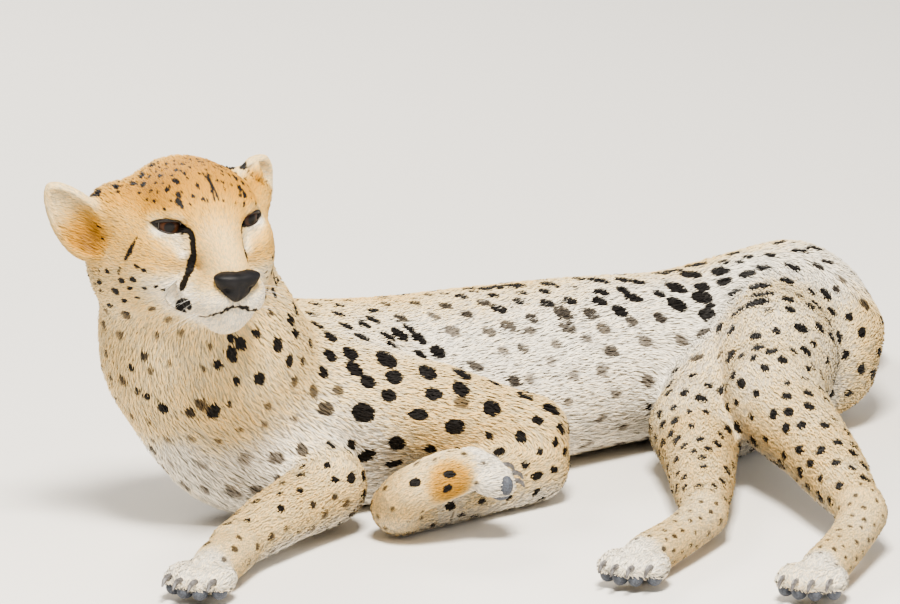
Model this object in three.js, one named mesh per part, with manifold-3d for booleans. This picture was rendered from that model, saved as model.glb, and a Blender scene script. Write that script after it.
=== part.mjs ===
// A life-size cheetah lying down: the hips lie on the right side with the belly towards -Y, the
// chest is half raised, and the head is up and turned to the animal's left.
// Millimetres, +Z up, the floor at z = 0. -X is towards the head, +X the tail, +Y the back.
import * as THREE from "three";
import { mergeVertices } from "three/addons/utils/BufferGeometryUtils.js";
import Module from "manifold-3d";

const wasm = await Module();
wasm.setup();

// ---- driving sizes
const seam = 0.3; // gap left between two nodes that meet
const bodyCell = 27; // grid step of the trunk and neck skin
const neckCell = 22; // grid step of the neck skin
const headCell = 10.2; // grid step of the head skin
const headSize = 1.0; // scales the whole head about its centre

const coat = { tawny: 0xcfa262, pale: 0xe9dcc0, cream: 0xf3ead8, dark: 0x15110e, iris: 0x8a5a22 };

// Trunk sections along x: middle (y, z), half depth from back to belly, half width, and how
// many degrees the back stands above the floor.
const trunk = [
  { x: -330, y: -32, z: 92, deep: 36, wide: 32, lean: 50 },
  { x: -290, y: -27, z: 90, deep: 74, wide: 56, lean: 47 },
  { x: -220, y: -18, z: 85, deep: 100, wide: 72, lean: 42 },
  { x: -130, y: -8, z: 79, deep: 107, wide: 75, lean: 33 },
  { x: -40, y: -2, z: 75, deep: 106, wide: 74, lean: 26 },
  { x: 70, y: 0, z: 76, deep: 100, wide: 72, lean: 21 },
  { x: 165, y: -2, z: 75, deep: 92, wide: 72, lean: 18 },
  { x: 260, y: -4, z: 71, deep: 86, wide: 70, lean: 16 },
  { x: 345, y: -2, z: 74, deep: 85, wide: 73, lean: 15 },
  { x: 412, y: 4, z: 80, deep: 74, wide: 71, lean: 15 },
  { x: 456, y: 10, z: 82, deep: 44, wide: 46, lean: 15 },
];

const neck = [
  { at: [-252, -30, 102], r: 80 },
  { at: [-303, -42, 162], r: 80 },
  { at: [-340, -58, 232], r: 68 },
];

const shoulder = { at: [-172, -22, 106], r: [92, 88, 54], turn: [12, 8, -14] };
const haunch = { at: [345, -40, 82], r: [100, 88, 50], turn: [6, -4, -10] };
const underHaunch = { at: [326, -52, 44], r: [94, 72, 44], turn: [0, 0, -20] };

const eye = { at: [31.5, 31, 12], r: 16.5, lid: 2.6, wide: 14, high: 7, slant: 1.5, out: 22 };
const nose = {
  top: { at: [0, 104, -19], r: [19, 12, 10] },
  foot: { at: [0, 106, -27], r: [9, 10, 10] },
  hole: { at: [10, 116, -22], r: [5, 5, 3.6] },
};
const mouth = {
  deep: 1.7,
  middle: [[0, 115, -34], [0, 113, -38], [0, 110, -43]],
  lip: [[0, 110, -42], [10, 104, -49], [20, 95, -55], [29, 80, -56], [34, 67, -50]],
};
const ear = {
  left: { at: [57, -15, 8], turn: [-4, 32, -24], r: [33, 13, 42] },
  right: { at: [93, -20, 0], turn: [-4, 39, -24], r: [23, 13, 43] },
  taper: 0.28, // how much narrower the tip is than the middle
  cup: { at: [0, 8, 3], less: [5, 1.5, 6] },
};
const tail = {
  points: [
    [424, 14, 92], [502, 44, 60], [566, 112, 30], [584, 200, 24],
    [540, 288, 24], [432, 344, 24], [284, 352, 24], [136, 332, 24],
  ],
  r: [25, 17],
  joints: [0, 0.3, 0.64, 1],
};

// ---- small vector and field helpers
const v3 = (p) => new THREE.Vector3(...p);
const rad = THREE.MathUtils.degToRad;
const clamp = THREE.MathUtils.clamp;

// Smooth minimum of two distances, blended over k.
function blend(a, b, k) {
  const h = Math.max(k - Math.abs(a - b), 0) / k;
  return Math.min(a, b) - (h * h * k) / 4;
}

// A thick line from a to b whose radius runs from ra to rb.
function bar(a, b, ra, rb) {
  const ab = [b[0] - a[0], b[1] - a[1], b[2] - a[2]];
  const long = ab[0] ** 2 + ab[1] ** 2 + ab[2] ** 2;
  return (p) => {
    const d = [p[0] - a[0], p[1] - a[1], p[2] - a[2]];
    const t = clamp((d[0] * ab[0] + d[1] * ab[1] + d[2] * ab[2]) / long, 0, 1);
    return Math.hypot(d[0] - ab[0] * t, d[1] - ab[1] * t, d[2] - ab[2] * t) - ra - (rb - ra) * t;
  };
}

// An ellipsoid turned by Euler degrees.
function lump({ at, r, turn = [0, 0, 0] }) {
  const back = new THREE.Matrix4()
    .makeRotationFromEuler(new THREE.Euler(...turn.map(rad)))
    .transpose().elements;
  return (p) => {
    const x = p[0] - at[0];
    const y = p[1] - at[1];
    const z = p[2] - at[2];
    const u = (back[0] * x + back[4] * y + back[8] * z) / r[0];
    const v = (back[1] * x + back[5] * y + back[9] * z) / r[1];
    const w = (back[2] * x + back[6] * y + back[10] * z) / r[2];
    const size = Math.hypot(u, v, w);
    const steep = Math.hypot(u / r[0], v / r[1], w / r[2]);
    return steep < 1e-9 ? -Math.min(...r) : (size * (size - 1)) / steep;
  };
}

// Reads one column of the trunk table at x, on a smooth curve through its rows.
function along(x, key) {
  const last = trunk.length - 1;
  let i = 0;
  while (i < last - 1 && trunk[i + 1].x < x) i++;
  const [before, a, b, after] = [i - 1, i, i + 1, i + 2].map((n) => trunk[clamp(n, 0, last)]);
  const step = b.x - a.x;
  const t = clamp((x - a.x) / step, 0, 1);
  const leave = ((b[key] - before[key]) / (b.x - before.x)) * step;
  const arrive = ((after[key] - a[key]) / (after.x - a.x)) * step;
  const rise = b[key] - a[key];
  return a[key] + t * (leave + t * (3 * rise - 2 * leave - arrive + t * (leave + arrive - 2 * rise)));
}

function trunkField(p) {
  const x = clamp(p[0], trunk[0].x, trunk.at(-1).x);
  const [y, z, deep, wide, lean] = ["y", "z", "deep", "wide", "lean"].map((key) => along(x, key));
  const c = Math.cos(rad(lean));
  const s = Math.sin(rad(lean));
  const u = (p[1] - y) * c + (p[2] - z) * s;
  const v = (p[2] - z) * c - (p[1] - y) * s;
  const size = Math.hypot(u / deep, v / wide);
  const steep = Math.hypot(u / deep ** 2, v / wide ** 2);
  const round = steep < 1e-9 ? -wide : (size * (size - 1)) / steep;
  return p[0] === x ? round : Math.hypot(Math.max(round, 0), p[0] - x) + Math.min(round, 0) * 0.2;
}

// ---- meshing
// The closed surface where field is zero, one vertex for each grid cell that it crosses,
// pulled onto the surface along the field's slope.
function skin(field, low, high, cell) {
  const [nx, ny, nz] = low.map((l, i) => Math.ceil((high[i] - l) / cell) + 1);
  const index = (i, j, k) => i + nx * (j + ny * k);
  const point = (i, j, k) => [low[0] + i * cell, low[1] + j * cell, low[2] + k * cell];
  const inside = (i, j, k) => i > 1 && j > 1 && k > 1 && i < nx - 2 && j < ny - 2 && k < nz - 2;
  const value = new Float32Array(nx * ny * nz);
  for (let k = 0; k < nz; k++)
    for (let j = 0; j < ny; j++)
      for (let i = 0; i < nx; i++)
        value[index(i, j, k)] = inside(i, j, k) ? field(point(i, j, k)) : cell;

  const bits = [0, 1, 2, 3, 4, 5, 6, 7].map((n) => [n & 1, (n >> 1) & 1, n >> 2]);
  const edges = bits.flatMap((a, m) =>
    bits.flatMap((b, n) => (n > m && [1, 2, 4].includes(m ^ n) ? [[m, n]] : [])),
  );
  const vertexOf = new Int32Array(nx * ny * nz).fill(-1);
  const places = [];
  for (let k = 0; k < nz - 1; k++)
    for (let j = 0; j < ny - 1; j++)
      for (let i = 0; i < nx - 1; i++) {
        const sum = [0, 0, 0];
        let count = 0;
        for (const [m, n] of edges) {
          const a = bits[m];
          const b = bits[n];
          const fa = value[index(i + a[0], j + a[1], k + a[2])];
          const fb = value[index(i + b[0], j + b[1], k + b[2])];
          if (fa < 0 === fb < 0) continue;
          const t = fa / (fa - fb);
          for (let q = 0; q < 3; q++) sum[q] += a[q] + t * (b[q] - a[q]);
          count++;
        }
        if (!count) continue;
        const start = point(i, j, k).map((c, q) => c + (sum[q] / count) * cell);
        vertexOf[index(i, j, k)] = places.length;
        places.push(pulled(field, start, cell));
      }

  const faces = [];
  const quad = (a, b, c, d) => {
    const [pa, pb, pc, pd] = [a, b, c, d].map((n) => v3(places[n]));
    if (pa.distanceTo(pc) < pb.distanceTo(pd)) faces.push(a, b, c, a, c, d);
    else faces.push(b, c, d, b, d, a);
  };
  for (let k = 1; k < nz - 1; k++)
    for (let j = 1; j < ny - 1; j++)
      for (let i = 1; i < nx - 1; i++)
        for (let axis = 0; axis < 3; axis++) {
          const one = [0, 1, 2].map((q) => (q === axis ? 1 : 0));
          const here = value[index(i, j, k)] < 0;
          const there = value[index(i + one[0], j + one[1], k + one[2])] < 0;
          if (here === there) continue;
          const u = [0, 1, 2].map((q) => (q === (axis + 1) % 3 ? 1 : 0));
          const w = [0, 1, 2].map((q) => (q === (axis + 2) % 3 ? 1 : 0));
          const ring = [[1, 1], [0, 1], [0, 0], [1, 0]].map(([s, t]) =>
            vertexOf[
              index(i - s * u[0] - t * w[0], j - s * u[1] - t * w[1], k - s * u[2] - t * w[2])
            ],
          );
          quad(...(here ? ring : ring.reverse()));
        }
  return new THREE.BufferGeometry()
    .setAttribute("position", new THREE.Float32BufferAttribute(places.flat(), 3))
    .setIndex(faces);
}

function pulled(field, start, cell) {
  let p = start;
  for (let turn = 0; turn < 3; turn++) {
    const f = field(p);
    const slope = [0, 1, 2].map((q) => {
      const ahead = [...p];
      ahead[q] += 0.5;
      return (field(ahead) - f) / 0.5;
    });
    const steep = Math.max(slope[0] ** 2 + slope[1] ** 2 + slope[2] ** 2, 0.2);
    const next = p.map((c, q) => c - (f * slope[q]) / steep);
    if (Math.hypot(...next.map((c, q) => c - start[q])) > 0.6 * cell) break;
    p = next;
  }
  return p;
}

// A closed tube along a curve with domed ends, its radii spread evenly along it. squeeze
// flattens the section in the direction of `across`.
function tube(curve, radii, { rings = 10, sides = 11, squeeze = 1, across = [0, 0, 1], dome = [14, 40, 66] } = {}) {
  const radiusAt = (t) => {
    const s = clamp(t, 0, 1) * (radii.length - 1);
    const i = Math.min(Math.floor(s), radii.length - 2);
    const f = s - i;
    return THREE.MathUtils.lerp(radii[i], radii[i + 1], f * f * (3 - 2 * f));
  };
  const stops = [];
  dome.forEach((a) => stops.push([0, -Math.cos(rad(a)), Math.sin(rad(a))]));
  for (let n = 0; n <= rings; n++) stops.push([n / rings, 0, 1]);
  [...dome].reverse().forEach((a) => stops.push([1, Math.cos(rad(a)), Math.sin(rad(a))]));
  const places = [];
  for (const [t, out, share] of stops) {
    const middle = curve.getPointAt(t);
    const ahead = curve.getTangentAt(t);
    const side = ahead.clone().cross(v3(across)).normalize();
    const top = side.clone().cross(ahead).normalize();
    const r = radiusAt(t);
    middle.addScaledVector(ahead, out * r);
    for (let n = 0; n < sides; n++) {
      const a = (n / sides) * 2 * Math.PI;
      const p = middle
        .clone()
        .addScaledVector(side, Math.cos(a) * r * share)
        .addScaledVector(top, Math.sin(a) * r * share * squeeze);
      places.push(p.x, p.y, p.z);
    }
  }
  const faces = [];
  for (let m = 0; m < stops.length - 1; m++)
    for (let n = 0; n < sides; n++) {
      const a = m * sides + n;
      const b = m * sides + ((n + 1) % sides);
      faces.push(a, a + sides, b, b, a + sides, b + sides);
    }
  [0, stops.length - 1].forEach((m, end) => {
    const t = end ? 1 : 0;
    const tip = curve.getPointAt(t);
    tip.addScaledVector(curve.getTangentAt(t), (end ? 1 : -1) * radiusAt(t));
    const centre = places.length / 3;
    places.push(tip.x, tip.y, tip.z);
    for (let n = 0; n < sides; n++) {
      const a = m * sides + n;
      const b = m * sides + ((n + 1) % sides);
      faces.push(...(end ? [centre, b, a] : [centre, a, b]));
    }
  });
  return new THREE.BufferGeometry()
    .setAttribute("position", new THREE.Float32BufferAttribute(places, 3))
    .setIndex(faces);
}

const line = (...points) =>
  points.length === 2 ? new THREE.LineCurve3(...points.map(v3)) : new THREE.CatmullRomCurve3(points.map(v3));

// An ellipsoid mesh, turned by Euler degrees.
function ball(at, r, turn = [0, 0, 0], fine = 1) {
  return new THREE.SphereGeometry(1, Math.round(18 * fine), Math.round(12 * fine))
    .scale(...r)
    .applyMatrix4(new THREE.Matrix4().makeRotationFromEuler(new THREE.Euler(...turn.map(rad))))
    .translate(...at);
}

// ---- solids
function solid(geometry) {
  const bare = geometry.clone();
  bare.deleteAttribute("normal");
  bare.deleteAttribute("uv");
  const merged = mergeVertices(bare, 1e-3);
  const made = new wasm.Manifold(
    new wasm.Mesh({
      numProp: 3,
      vertProperties: new Float32Array(merged.attributes.position.array),
      triVerts: new Uint32Array(merged.index.array),
    }),
  );
  return made;
}

function geometryOf(made) {
  const mesh = made.getMesh();
  const places = new Float32Array(mesh.numVert * 3);
  for (let i = 0; i < mesh.numVert; i++)
    for (let q = 0; q < 3; q++) places[3 * i + q] = mesh.vertProperties[mesh.numProp * i + q];
  return new THREE.BufferGeometry()
    .setAttribute("position", new THREE.BufferAttribute(places, 3))
    .setIndex(new THREE.BufferAttribute(new Uint32Array(mesh.triVerts), 1));
}

// Draws together the ends of every edge shorter than `short`, where the surface stays closed.
function welded(geometry, short) {
  const p = geometry.attributes.position;
  const gap = (a, b) => Math.hypot(p.getX(a) - p.getX(b), p.getY(a) - p.getY(b), p.getZ(a) - p.getZ(b));
  let faces = [...geometry.index.array];
  for (let turn = 0; turn < 12; turn++) {
    const near = Array.from({ length: p.count }, () => new Set());
    for (let i = 0; i < faces.length; i++) {
      const next = i - (i % 3) + ((i + 1) % 3);
      near[faces[i]].add(faces[next]);
      near[faces[next]].add(faces[i]);
    }
    const onto = new Map();
    const touched = new Set();
    for (let a = 0; a < p.count; a++)
      for (const b of near[a]) {
        if (touched.has(a) || touched.has(b) || gap(a, b) > short) continue;
        if ([...near[a]].filter((c) => near[b].has(c)).length !== 2) continue;
        onto.set(b, a);
        [a, b, ...near[a], ...near[b]].forEach((c) => touched.add(c));
      }
    if (!onto.size) break;
    const kept = [];
    for (let i = 0; i < faces.length; i += 3) {
      const [a, b, c] = faces.slice(i, i + 3).map((n) => onto.get(n) ?? n);
      if (a !== b && b !== c && c !== a) kept.push(a, b, c);
    }
    faces = kept;
  }
  return mergeVertices(geometry.setIndex(faces).toNonIndexed(), 1e-5);
}

const join = (...parts) => parts.reduce((a, b) => a.add(b));
const largest = (made) =>
  made.decompose().reduce((a, b) => (a.volume() > b.volume() ? a : b));

// The solid with its surface moved out by the gap that nodes keep.
function grown(made, by = seam + 0.1) {
  const g = geometryOf(made);
  g.computeVertexNormals();
  const p = g.attributes.position;
  const n = g.attributes.normal;
  for (let i = 0; i < p.count; i++)
    p.setXYZ(i, p.getX(i) + n.getX(i) * by, p.getY(i) + n.getY(i) * by, p.getZ(i) + n.getZ(i) * by);
  return solid(g);
}

// Cuts a form clear of forms that are already grown, and keeps its largest body.
const clearOf = (made, ...others) => largest(others.reduce((a, b) => a.subtract(b), made));

// Half of space as a large block: everything on the far side of a plane, from `by` past it.
function beyond(at, normal, by) {
  const size = 4000;
  const n = v3(normal).normalize();
  const block = new THREE.BoxGeometry(size, size, size);
  block.translate(0, 0, size / 2 + by);
  block.applyQuaternion(new THREE.Quaternion().setFromUnitVectors(new THREE.Vector3(0, 0, 1), n));
  return solid(block.translate(...at));
}

const floor = beyond([0, 0, 0], [0, 0, -1], 0);
const aboveFloor = (made) => made.subtract(floor);

// ---- the head, in its own frame: +x the animal's right, +y out of the nose, +z up
const headAt = { at: [-347, -84, 284], yaw: 167, pitch: -9, roll: 0 };
const headPlace = new THREE.Matrix4().compose(
  v3(headAt.at),
  new THREE.Quaternion().setFromEuler(
    new THREE.Euler(rad(headAt.pitch), rad(headAt.roll), rad(headAt.yaw), "ZXY"),
  ),
  new THREE.Vector3(headSize, headSize, headSize),
);
const toHead = headPlace.clone().invert();

const head = {
  cranium: { at: [0, -8, 3], r: [55, 64, 49] },
  brow: { at: [0, 24, 19], r: [45, 35, 30] },
  cheek: { at: [40, 14, -22], r: [30, 44, 36] },
  ruff: { at: [47, -24, -36], r: [31, 37, 38] },
  earRoot: { at: [53, -20, 23], r: [27, 30, 22] },
  bridge: { from: [0, 30, 13], to: [0, 92, -16], r: [27, 17] },
  lip: { at: [15, 88, -36], r: [18, 23, 19] },
  jaw: { from: [0, 20, -42], to: [0, 80, -51], r: [30, 17] },
  chin: { at: [0, 89, -56], r: [15, 13, 12] },
  throat: { at: [0, -14, -44], r: [44, 44, 32] },
};

const pair = (part, side) => ({ ...part, at: [side * part.at[0], part.at[1], part.at[2]] });

const headParts = [
  [lump(head.cranium), 1],
  [lump(head.brow), 22],
  [bar(head.bridge.from, head.bridge.to, ...head.bridge.r), 16],
  [bar(head.jaw.from, head.jaw.to, ...head.jaw.r), 18],
  [lump(head.chin), 8],
  [lump(head.throat), 24],
  ...[-1, 1].flatMap((side) => [
    [lump(pair(head.cheek, side)), 22],
    [lump(pair(head.ruff, side)), 24],
    [lump(pair(head.earRoot, side)), 18],
    [lump(pair(head.lip, side)), 9],
  ]),
];
const headField = (p) =>
  headParts.reduce((d, [part, k], i) => (i ? blend(d, part(p), k) : part(p)), 0);

const neckBars = neck.slice(1).map((b, i) => bar(neck[i].at, b.at, neck[i].r, b.r));
const lumps = [shoulder, haunch, underHaunch].map(lump);
const moved = new THREE.Vector3();

// The whole of the trunk, neck and head as one blended form.
function bodyField(p) {
  let d = trunkField(p);
  for (const part of neckBars) d = blend(d, part(p), 40);
  for (const part of lumps) d = blend(d, part(p), 34);
  if (p[0] > -200 || p[2] < 120) return d;
  moved.set(...p).applyMatrix4(toHead);
  return blend(d, headField([moved.x, moved.y, moved.z]) * headSize, 34);
}

// ---- trunk, neck and head, cut from that one form
const cuts = {
  nape: { at: [-341, -52, 216], normal: [-0.2, -0.25, 0.95] },
  collar: { at: [-288, -36, 146], normal: [-0.55, -0.15, 0.82] },
  ribs: { at: [-55, 0, 80], normal: [1, 0, 0] },
  loin: { at: [228, 0, 80], normal: [1, 0, 0] },
};
const front = ({ at, normal }) => beyond(at, normal, -seam / 2);
const rear = ({ at, normal }) => beyond(at, normal.map((c) => -c), -seam / 2);

const trunkSkin = aboveFloor(solid(skin(bodyField, [-430, -250, -60], [540, 230, 330], bodyCell)));
const neckSkin = solid(skin(bodyField, [-520, -300, 20], [-120, 160, 400], neckCell));
const headSkin = solid(skin(bodyField, [-500, -270, 110], [-190, 110, 400], headCell));
const neckNode = largest(neckSkin.subtract(front(cuts.nape)).subtract(rear(cuts.collar)));
const chest = largest(trunkSkin.subtract(front(cuts.collar)).subtract(front(cuts.ribs)));
const belly = largest(trunkSkin.subtract(rear(cuts.ribs)).subtract(front(cuts.loin)));
const rump = largest(trunkSkin.subtract(rear(cuts.loin)));

// ---- the face, laid out in the head's frame
const inHead = (geometry) => geometry.applyMatrix4(headPlace);
const mirror = (p, side) => [p[0] * side, p[1], p[2]];

// Moves p straight to the head's surface.
function onHead(p) {
  let q = p;
  for (let turn = 0; turn < 14; turn++) {
    const f = headField(q);
    const slope = [0, 1, 2].map((n) => (headField(q.map((c, m) => c + (m === n ? 0.5 : 0))) - f) / 0.5);
    const steep = Math.max(slope[0] ** 2 + slope[1] ** 2 + slope[2] ** 2, 0.1);
    q = q.map((c, n) => c - (0.8 * f * slope[n]) / steep);
  }
  return q;
}

// The opening between the lids, as a bar of almond section that runs out from inside the eye.
function lidOpening(side) {
  const { wide, high, slant, out } = eye;
  const shape = new THREE.Shape();
  shape.moveTo(-wide, -slant);
  shape.bezierCurveTo(-wide * 0.45, high * 1.25, wide * 0.55, high * 1.3, wide, slant);
  shape.bezierCurveTo(wide * 0.45, -high * 0.9, -wide * 0.5, -high * 1.2, -wide, -slant);
  const bar = new THREE.ExtrudeGeometry(shape, { depth: 30, bevelEnabled: false, curveSegments: 6 });
  const f = new THREE.Vector3(Math.sin(rad(out)), Math.cos(rad(out)), 0.05).normalize();
  const up = new THREE.Vector3(0, -0.05, 1).normalize();
  bar.translate(0, 0, 4).applyMatrix4(new THREE.Matrix4().makeBasis(up.clone().cross(f), up, f));
  bar.translate(...eye.at);
  if (side > 0) return bar;
  return flipped(bar);
}

// A geometry mirrored across x = 0, its faces turned round to face out again.
function flipped(geometry) {
  const g = geometry.index ? geometry.toNonIndexed() : geometry.clone();
  g.scale(-1, 1, 1);
  const p = g.attributes.position;
  for (let i = 0; i < p.count; i += 3) {
    const [a, b] = [v3([0, 0, 0]), v3([0, 0, 0])];
    a.fromBufferAttribute(p, i + 1);
    b.fromBufferAttribute(p, i + 2);
    p.setXYZ(i + 1, b.x, b.y, b.z);
    p.setXYZ(i + 2, a.x, a.y, a.z);
  }
  return g;
}

let headNode = largest(headSkin.subtract(rear(cuts.nape)));
const eyes = {};
for (const [name, side] of [["left", -1], ["right", 1]]) {
  const ofRadius = (r, fine) => solid(inHead(ball(mirror(eye.at, side), [r, r, r], [0, 0, 0], fine)));
  const opening = solid(inHead(lidOpening(side)));
  headNode = headNode.add(ofRadius(eye.r + eye.lid, 0.6)).subtract(opening);
  headNode = headNode.subtract(ofRadius(eye.r + seam, 0.7));
  eyes[name] = ofRadius(eye.r, 0.7);
}

const noseLeather = join(
  solid(inHead(ball(nose.top.at, nose.top.r, [0, 0, 0], 0.6))),
  solid(inHead(ball(nose.foot.at, nose.foot.r, [0, 0, 0], 0.5))),
);
const nostrils = [-1, 1].map((side) =>
  solid(inHead(ball(mirror(nose.hole.at, side), nose.hole.r, [0, 0, side * 25], 0.5))),
);
const noseNode = largest(nostrils.reduce((a, b) => a.subtract(b), noseLeather));
headNode = headNode.subtract(grown(noseLeather));

const groove = (points, r) =>
  solid(inHead(tube(line(...points.map(onHead)), [r, r, r * 0.6], { rings: 5, sides: 5, dome: [45] })));
headNode = headNode.subtract(groove(mouth.middle, mouth.deep));
for (const side of [-1, 1])
  headNode = headNode.subtract(groove(mouth.lip.map((p) => mirror(p, side)), mouth.deep));
headNode = largest(headNode);

function earNode(side) {
  const { at, turn, r } = side < 0 ? ear.left : ear.right;
  const cupR = r.map((v, i) => v - ear.cup.less[i]);
  const place = new THREE.Matrix4()
    .makeRotationFromEuler(new THREE.Euler(...turn.map(rad), "ZYX"))
    .setPosition(...at);
  const shapeOf = (low, r) => {
    const g = new THREE.SphereGeometry(1, 12, 8);
    const p = g.attributes.position;
    for (let i = 0; i < p.count; i++) p.setX(i, p.getX(i) * (1 - ear.taper * p.getZ(i)));
    g.scale(...r).translate(...low).applyMatrix4(place);
    return solid(inHead(side > 0 ? bareGeometry(g) : flipped(bareGeometry(g))));
  };
  return shapeOf([0, 0, 0], r).subtract(shapeOf(ear.cup.at, cupR));
}
const bareGeometry = (g) => {
  g.deleteAttribute("normal");
  g.deleteAttribute("uv");
  return g;
};
const headSolid = headNode;
const ears = { left: earNode(-1), right: earNode(1) };

// ---- legs and tail
const limb = (points, radii, more) => aboveFloor(solid(tube(line(...points), radii, more)));

// A paw: a tube from the wrist to the pads, with four toes and a claw on each.
function paw({ spine, radii, squeeze = 0.85, ahead, up, toe, width, claws }) {
  const f = v3(ahead).normalize();
  const side = f.clone().cross(v3(up)).normalize();
  const top = side.clone().cross(f);
  const basis = new THREE.Matrix4().makeBasis(side, f, top);
  const base = v3(spine.at(-1));
  const parts = [];
  const hooks = [];
  for (let n = 0; n < 4; n++) {
    const across = ((n - 1.5) / 1.5) * width;
    const reach = [-5, 3, 3, -5][n] + toe[1] * 0.55;
    const at = base.clone().addScaledVector(side, across).addScaledVector(f, reach);
    at.addScaledVector(top, -2);
    parts.push(
      new THREE.SphereGeometry(1, 7, 6)
        .scale(...toe)
        .rotateZ(rad([9, 3, -3, -9][n]))
        .applyMatrix4(basis)
        .translate(...at.toArray()),
    );
    const root = at.clone().addScaledVector(f, toe[1] * 0.72).addScaledVector(top, toe[2] * 0.3);
    const mid = root.clone().addScaledVector(f, claws * 0.55).addScaledVector(top, 0.5);
    const tip = root.clone().addScaledVector(f, claws).addScaledVector(top, -claws * 0.32);
    hooks.push(
      tube(line(root.toArray(), mid.toArray(), tip.toArray()), [2.6, 2.3, 0.9], {
        rings: 3,
        sides: 6,
        across: side.toArray(),
        dome: [45],
      }),
    );
  }
  const hooked = hooks.map((hook) => aboveFloor(solid(hook)));
  const pad = aboveFloor(
    join(solid(tube(line(...spine), radii, { rings: 4, sides: 10, squeeze, across: up })), ...parts.map(solid)),
  );
  return { pad, claws: hooked };
}

const legs = {
  foreleg_left: {
    upper: limb([[-200, -46, 100], [-118, -92, 86], [-18, -139, 62]], [56, 49, 34], { rings: 7 }),
    lower: limb([[-24, -146, 34], [-110, -160, 28], [-190, -174, 24]], [35, 29, 24], { rings: 7 }),
    ...paw({
      spine: [[-202, -182, 30], [-204, -206, 48], [-176, -222, 62], [-148, -226, 63]],
      radii: [22, 22, 23, 20],
      ahead: [1, -0.02, -0.18],
      up: [0.1, -0.35, 1],
      toe: [12, 23, 13.5],
      width: 21,
      claws: 15,
    }),
  },
  foreleg_right: {
    upper: limb([[-262, -30, 70], [-240, -70, 56], [-226, -118, 44]], [52, 44, 34], { rings: 6 }),
    lower: limb([[-232, -128, 40], [-310, -160, 34], [-384, -196, 26]], [33, 28, 22], { rings: 8 }),
    ...paw({
      spine: [[-392, -204, 24], [-420, -224, 23], [-446, -240, 21]],
      radii: [21, 22, 20],
      ahead: [-0.9, -0.44, -0.04],
      up: [0, 0, 1],
      toe: [12, 22, 13],
      width: 21,
      claws: 15,
    }),
  },
  hindleg_left: {
    upper: limb([[330, -42, 80], [268, -124, 84], [186, -222, 80]], [60, 60, 45], { rings: 7 }),
    lower: limb([[176, -238, 76], [136, -350, 54], [86, -456, 38]], [43, 33, 23], { rings: 7 }),
    ...paw({
      spine: [[80, -468, 36], [34, -502, 27], [-22, -540, 22], [-48, -556, 21]],
      radii: [21, 19, 21, 20],
      ahead: [-0.83, -0.55, 0],
      up: [0, 0, 1],
      toe: [12, 23, 13],
      width: 20.5,
      claws: 15,
    }),
  },
  hindleg_right: {
    upper: limb([[338, -20, 62], [246, -94, 54], [150, -158, 46]], [66, 60, 42], { rings: 7 }),
    lower: limb([[142, -170, 42], [72, -262, 33], [2, -350, 27]], [40, 31, 22], { rings: 7 }),
    ...paw({
      spine: [[-8, -360, 26], [-56, -388, 23], [-112, -416, 21], [-134, -428, 21]],
      radii: [20, 19, 21, 20],
      ahead: [-0.86, -0.5, 0],
      up: [0, 0, 1],
      toe: [12, 23, 13],
      width: 20.5,
      claws: 15,
    }),
  },
};

const tailLine = line(...tail.points);
const tailPart = (from, to) => {
  const points = [0, 0.2, 0.4, 0.6, 0.8, 1].map((t) => tailLine.getPointAt(from + (to - from) * t).toArray());
  const thick = [from, (from + to) / 2, to].map((t) => THREE.MathUtils.lerp(tail.r[0], tail.r[1], t));
  return aboveFloor(solid(tube(line(...points), thick, { rings: 8, sides: 10 })));
};
const tailParts = tail.joints.slice(1).map((to, i) => tailPart(tail.joints[i], to));

// ---- the nodes, each cut clear of the ones it meets
const nodes = {};
nodes.head = [headSolid, coat.tawny];
nodes.nose = [noseNode, coat.dark];
for (const side of ["left", "right"]) {
  nodes["eye_" + side] = [eyes[side], coat.iris];
  nodes["ear_" + side] = [clearOf(ears[side], grown(headSolid)), coat.pale];
}
nodes.neck = [neckNode, coat.tawny];
nodes.chest = [chest, coat.tawny];
nodes.belly = [belly, coat.cream];
nodes.haunch = [rump, coat.tawny];
const laid = [grown(trunkSkin), grown(neckSkin)];
const names = { foreleg: ["upper", "lower", "paw"], hindleg: ["thigh", "shank", "foot"] };
for (const [name, leg] of Object.entries(legs)) {
  const called = names[name.split("_")[0]];
  [leg.upper, leg.lower, leg.pad].forEach((form, i) => {
    const hooks = i === 2 ? leg.claws.map((claw) => grown(claw)) : [];
    nodes[`${name}_${called[i]}`] = [clearOf(form, ...laid, ...hooks), i === 2 ? coat.pale : coat.tawny];
    laid.push(grown(form));
  });
  leg.claws.forEach((claw, i) => {
    nodes[`${name}_claw_${i + 1}`] = [claw, coat.dark];
  });
}
tailParts.forEach((part, i) => {
  const before = i ? tailParts[i - 1] : trunkSkin;
  nodes[`tail_${i + 1}`] = [clearOf(part, grown(before)), coat.tawny];
});

const group = new THREE.Group();
group.name = "cheetah";
const bounds = new THREE.Box3();
for (const [name, [made, color]] of Object.entries(nodes)) {
  const shape = welded(geometryOf(made), seam / 3);
  const mesh = new THREE.Mesh(shape, new THREE.MeshStandardMaterial({ color, roughness: 0.8 }));
  mesh.name = name;
  bounds.expandByObject(mesh);
  group.add(mesh);
}
const centre = bounds.getCenter(new THREE.Vector3());
group.position.set(-centre.x, -centre.y, -bounds.min.z);
export default group;
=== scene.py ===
import bpy
import bmesh
import math
import time
import numpy as np
from mathutils import Matrix, Vector
from mathutils.bvhtree import BVHTree
from mathutils.kdtree import KDTree


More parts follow.
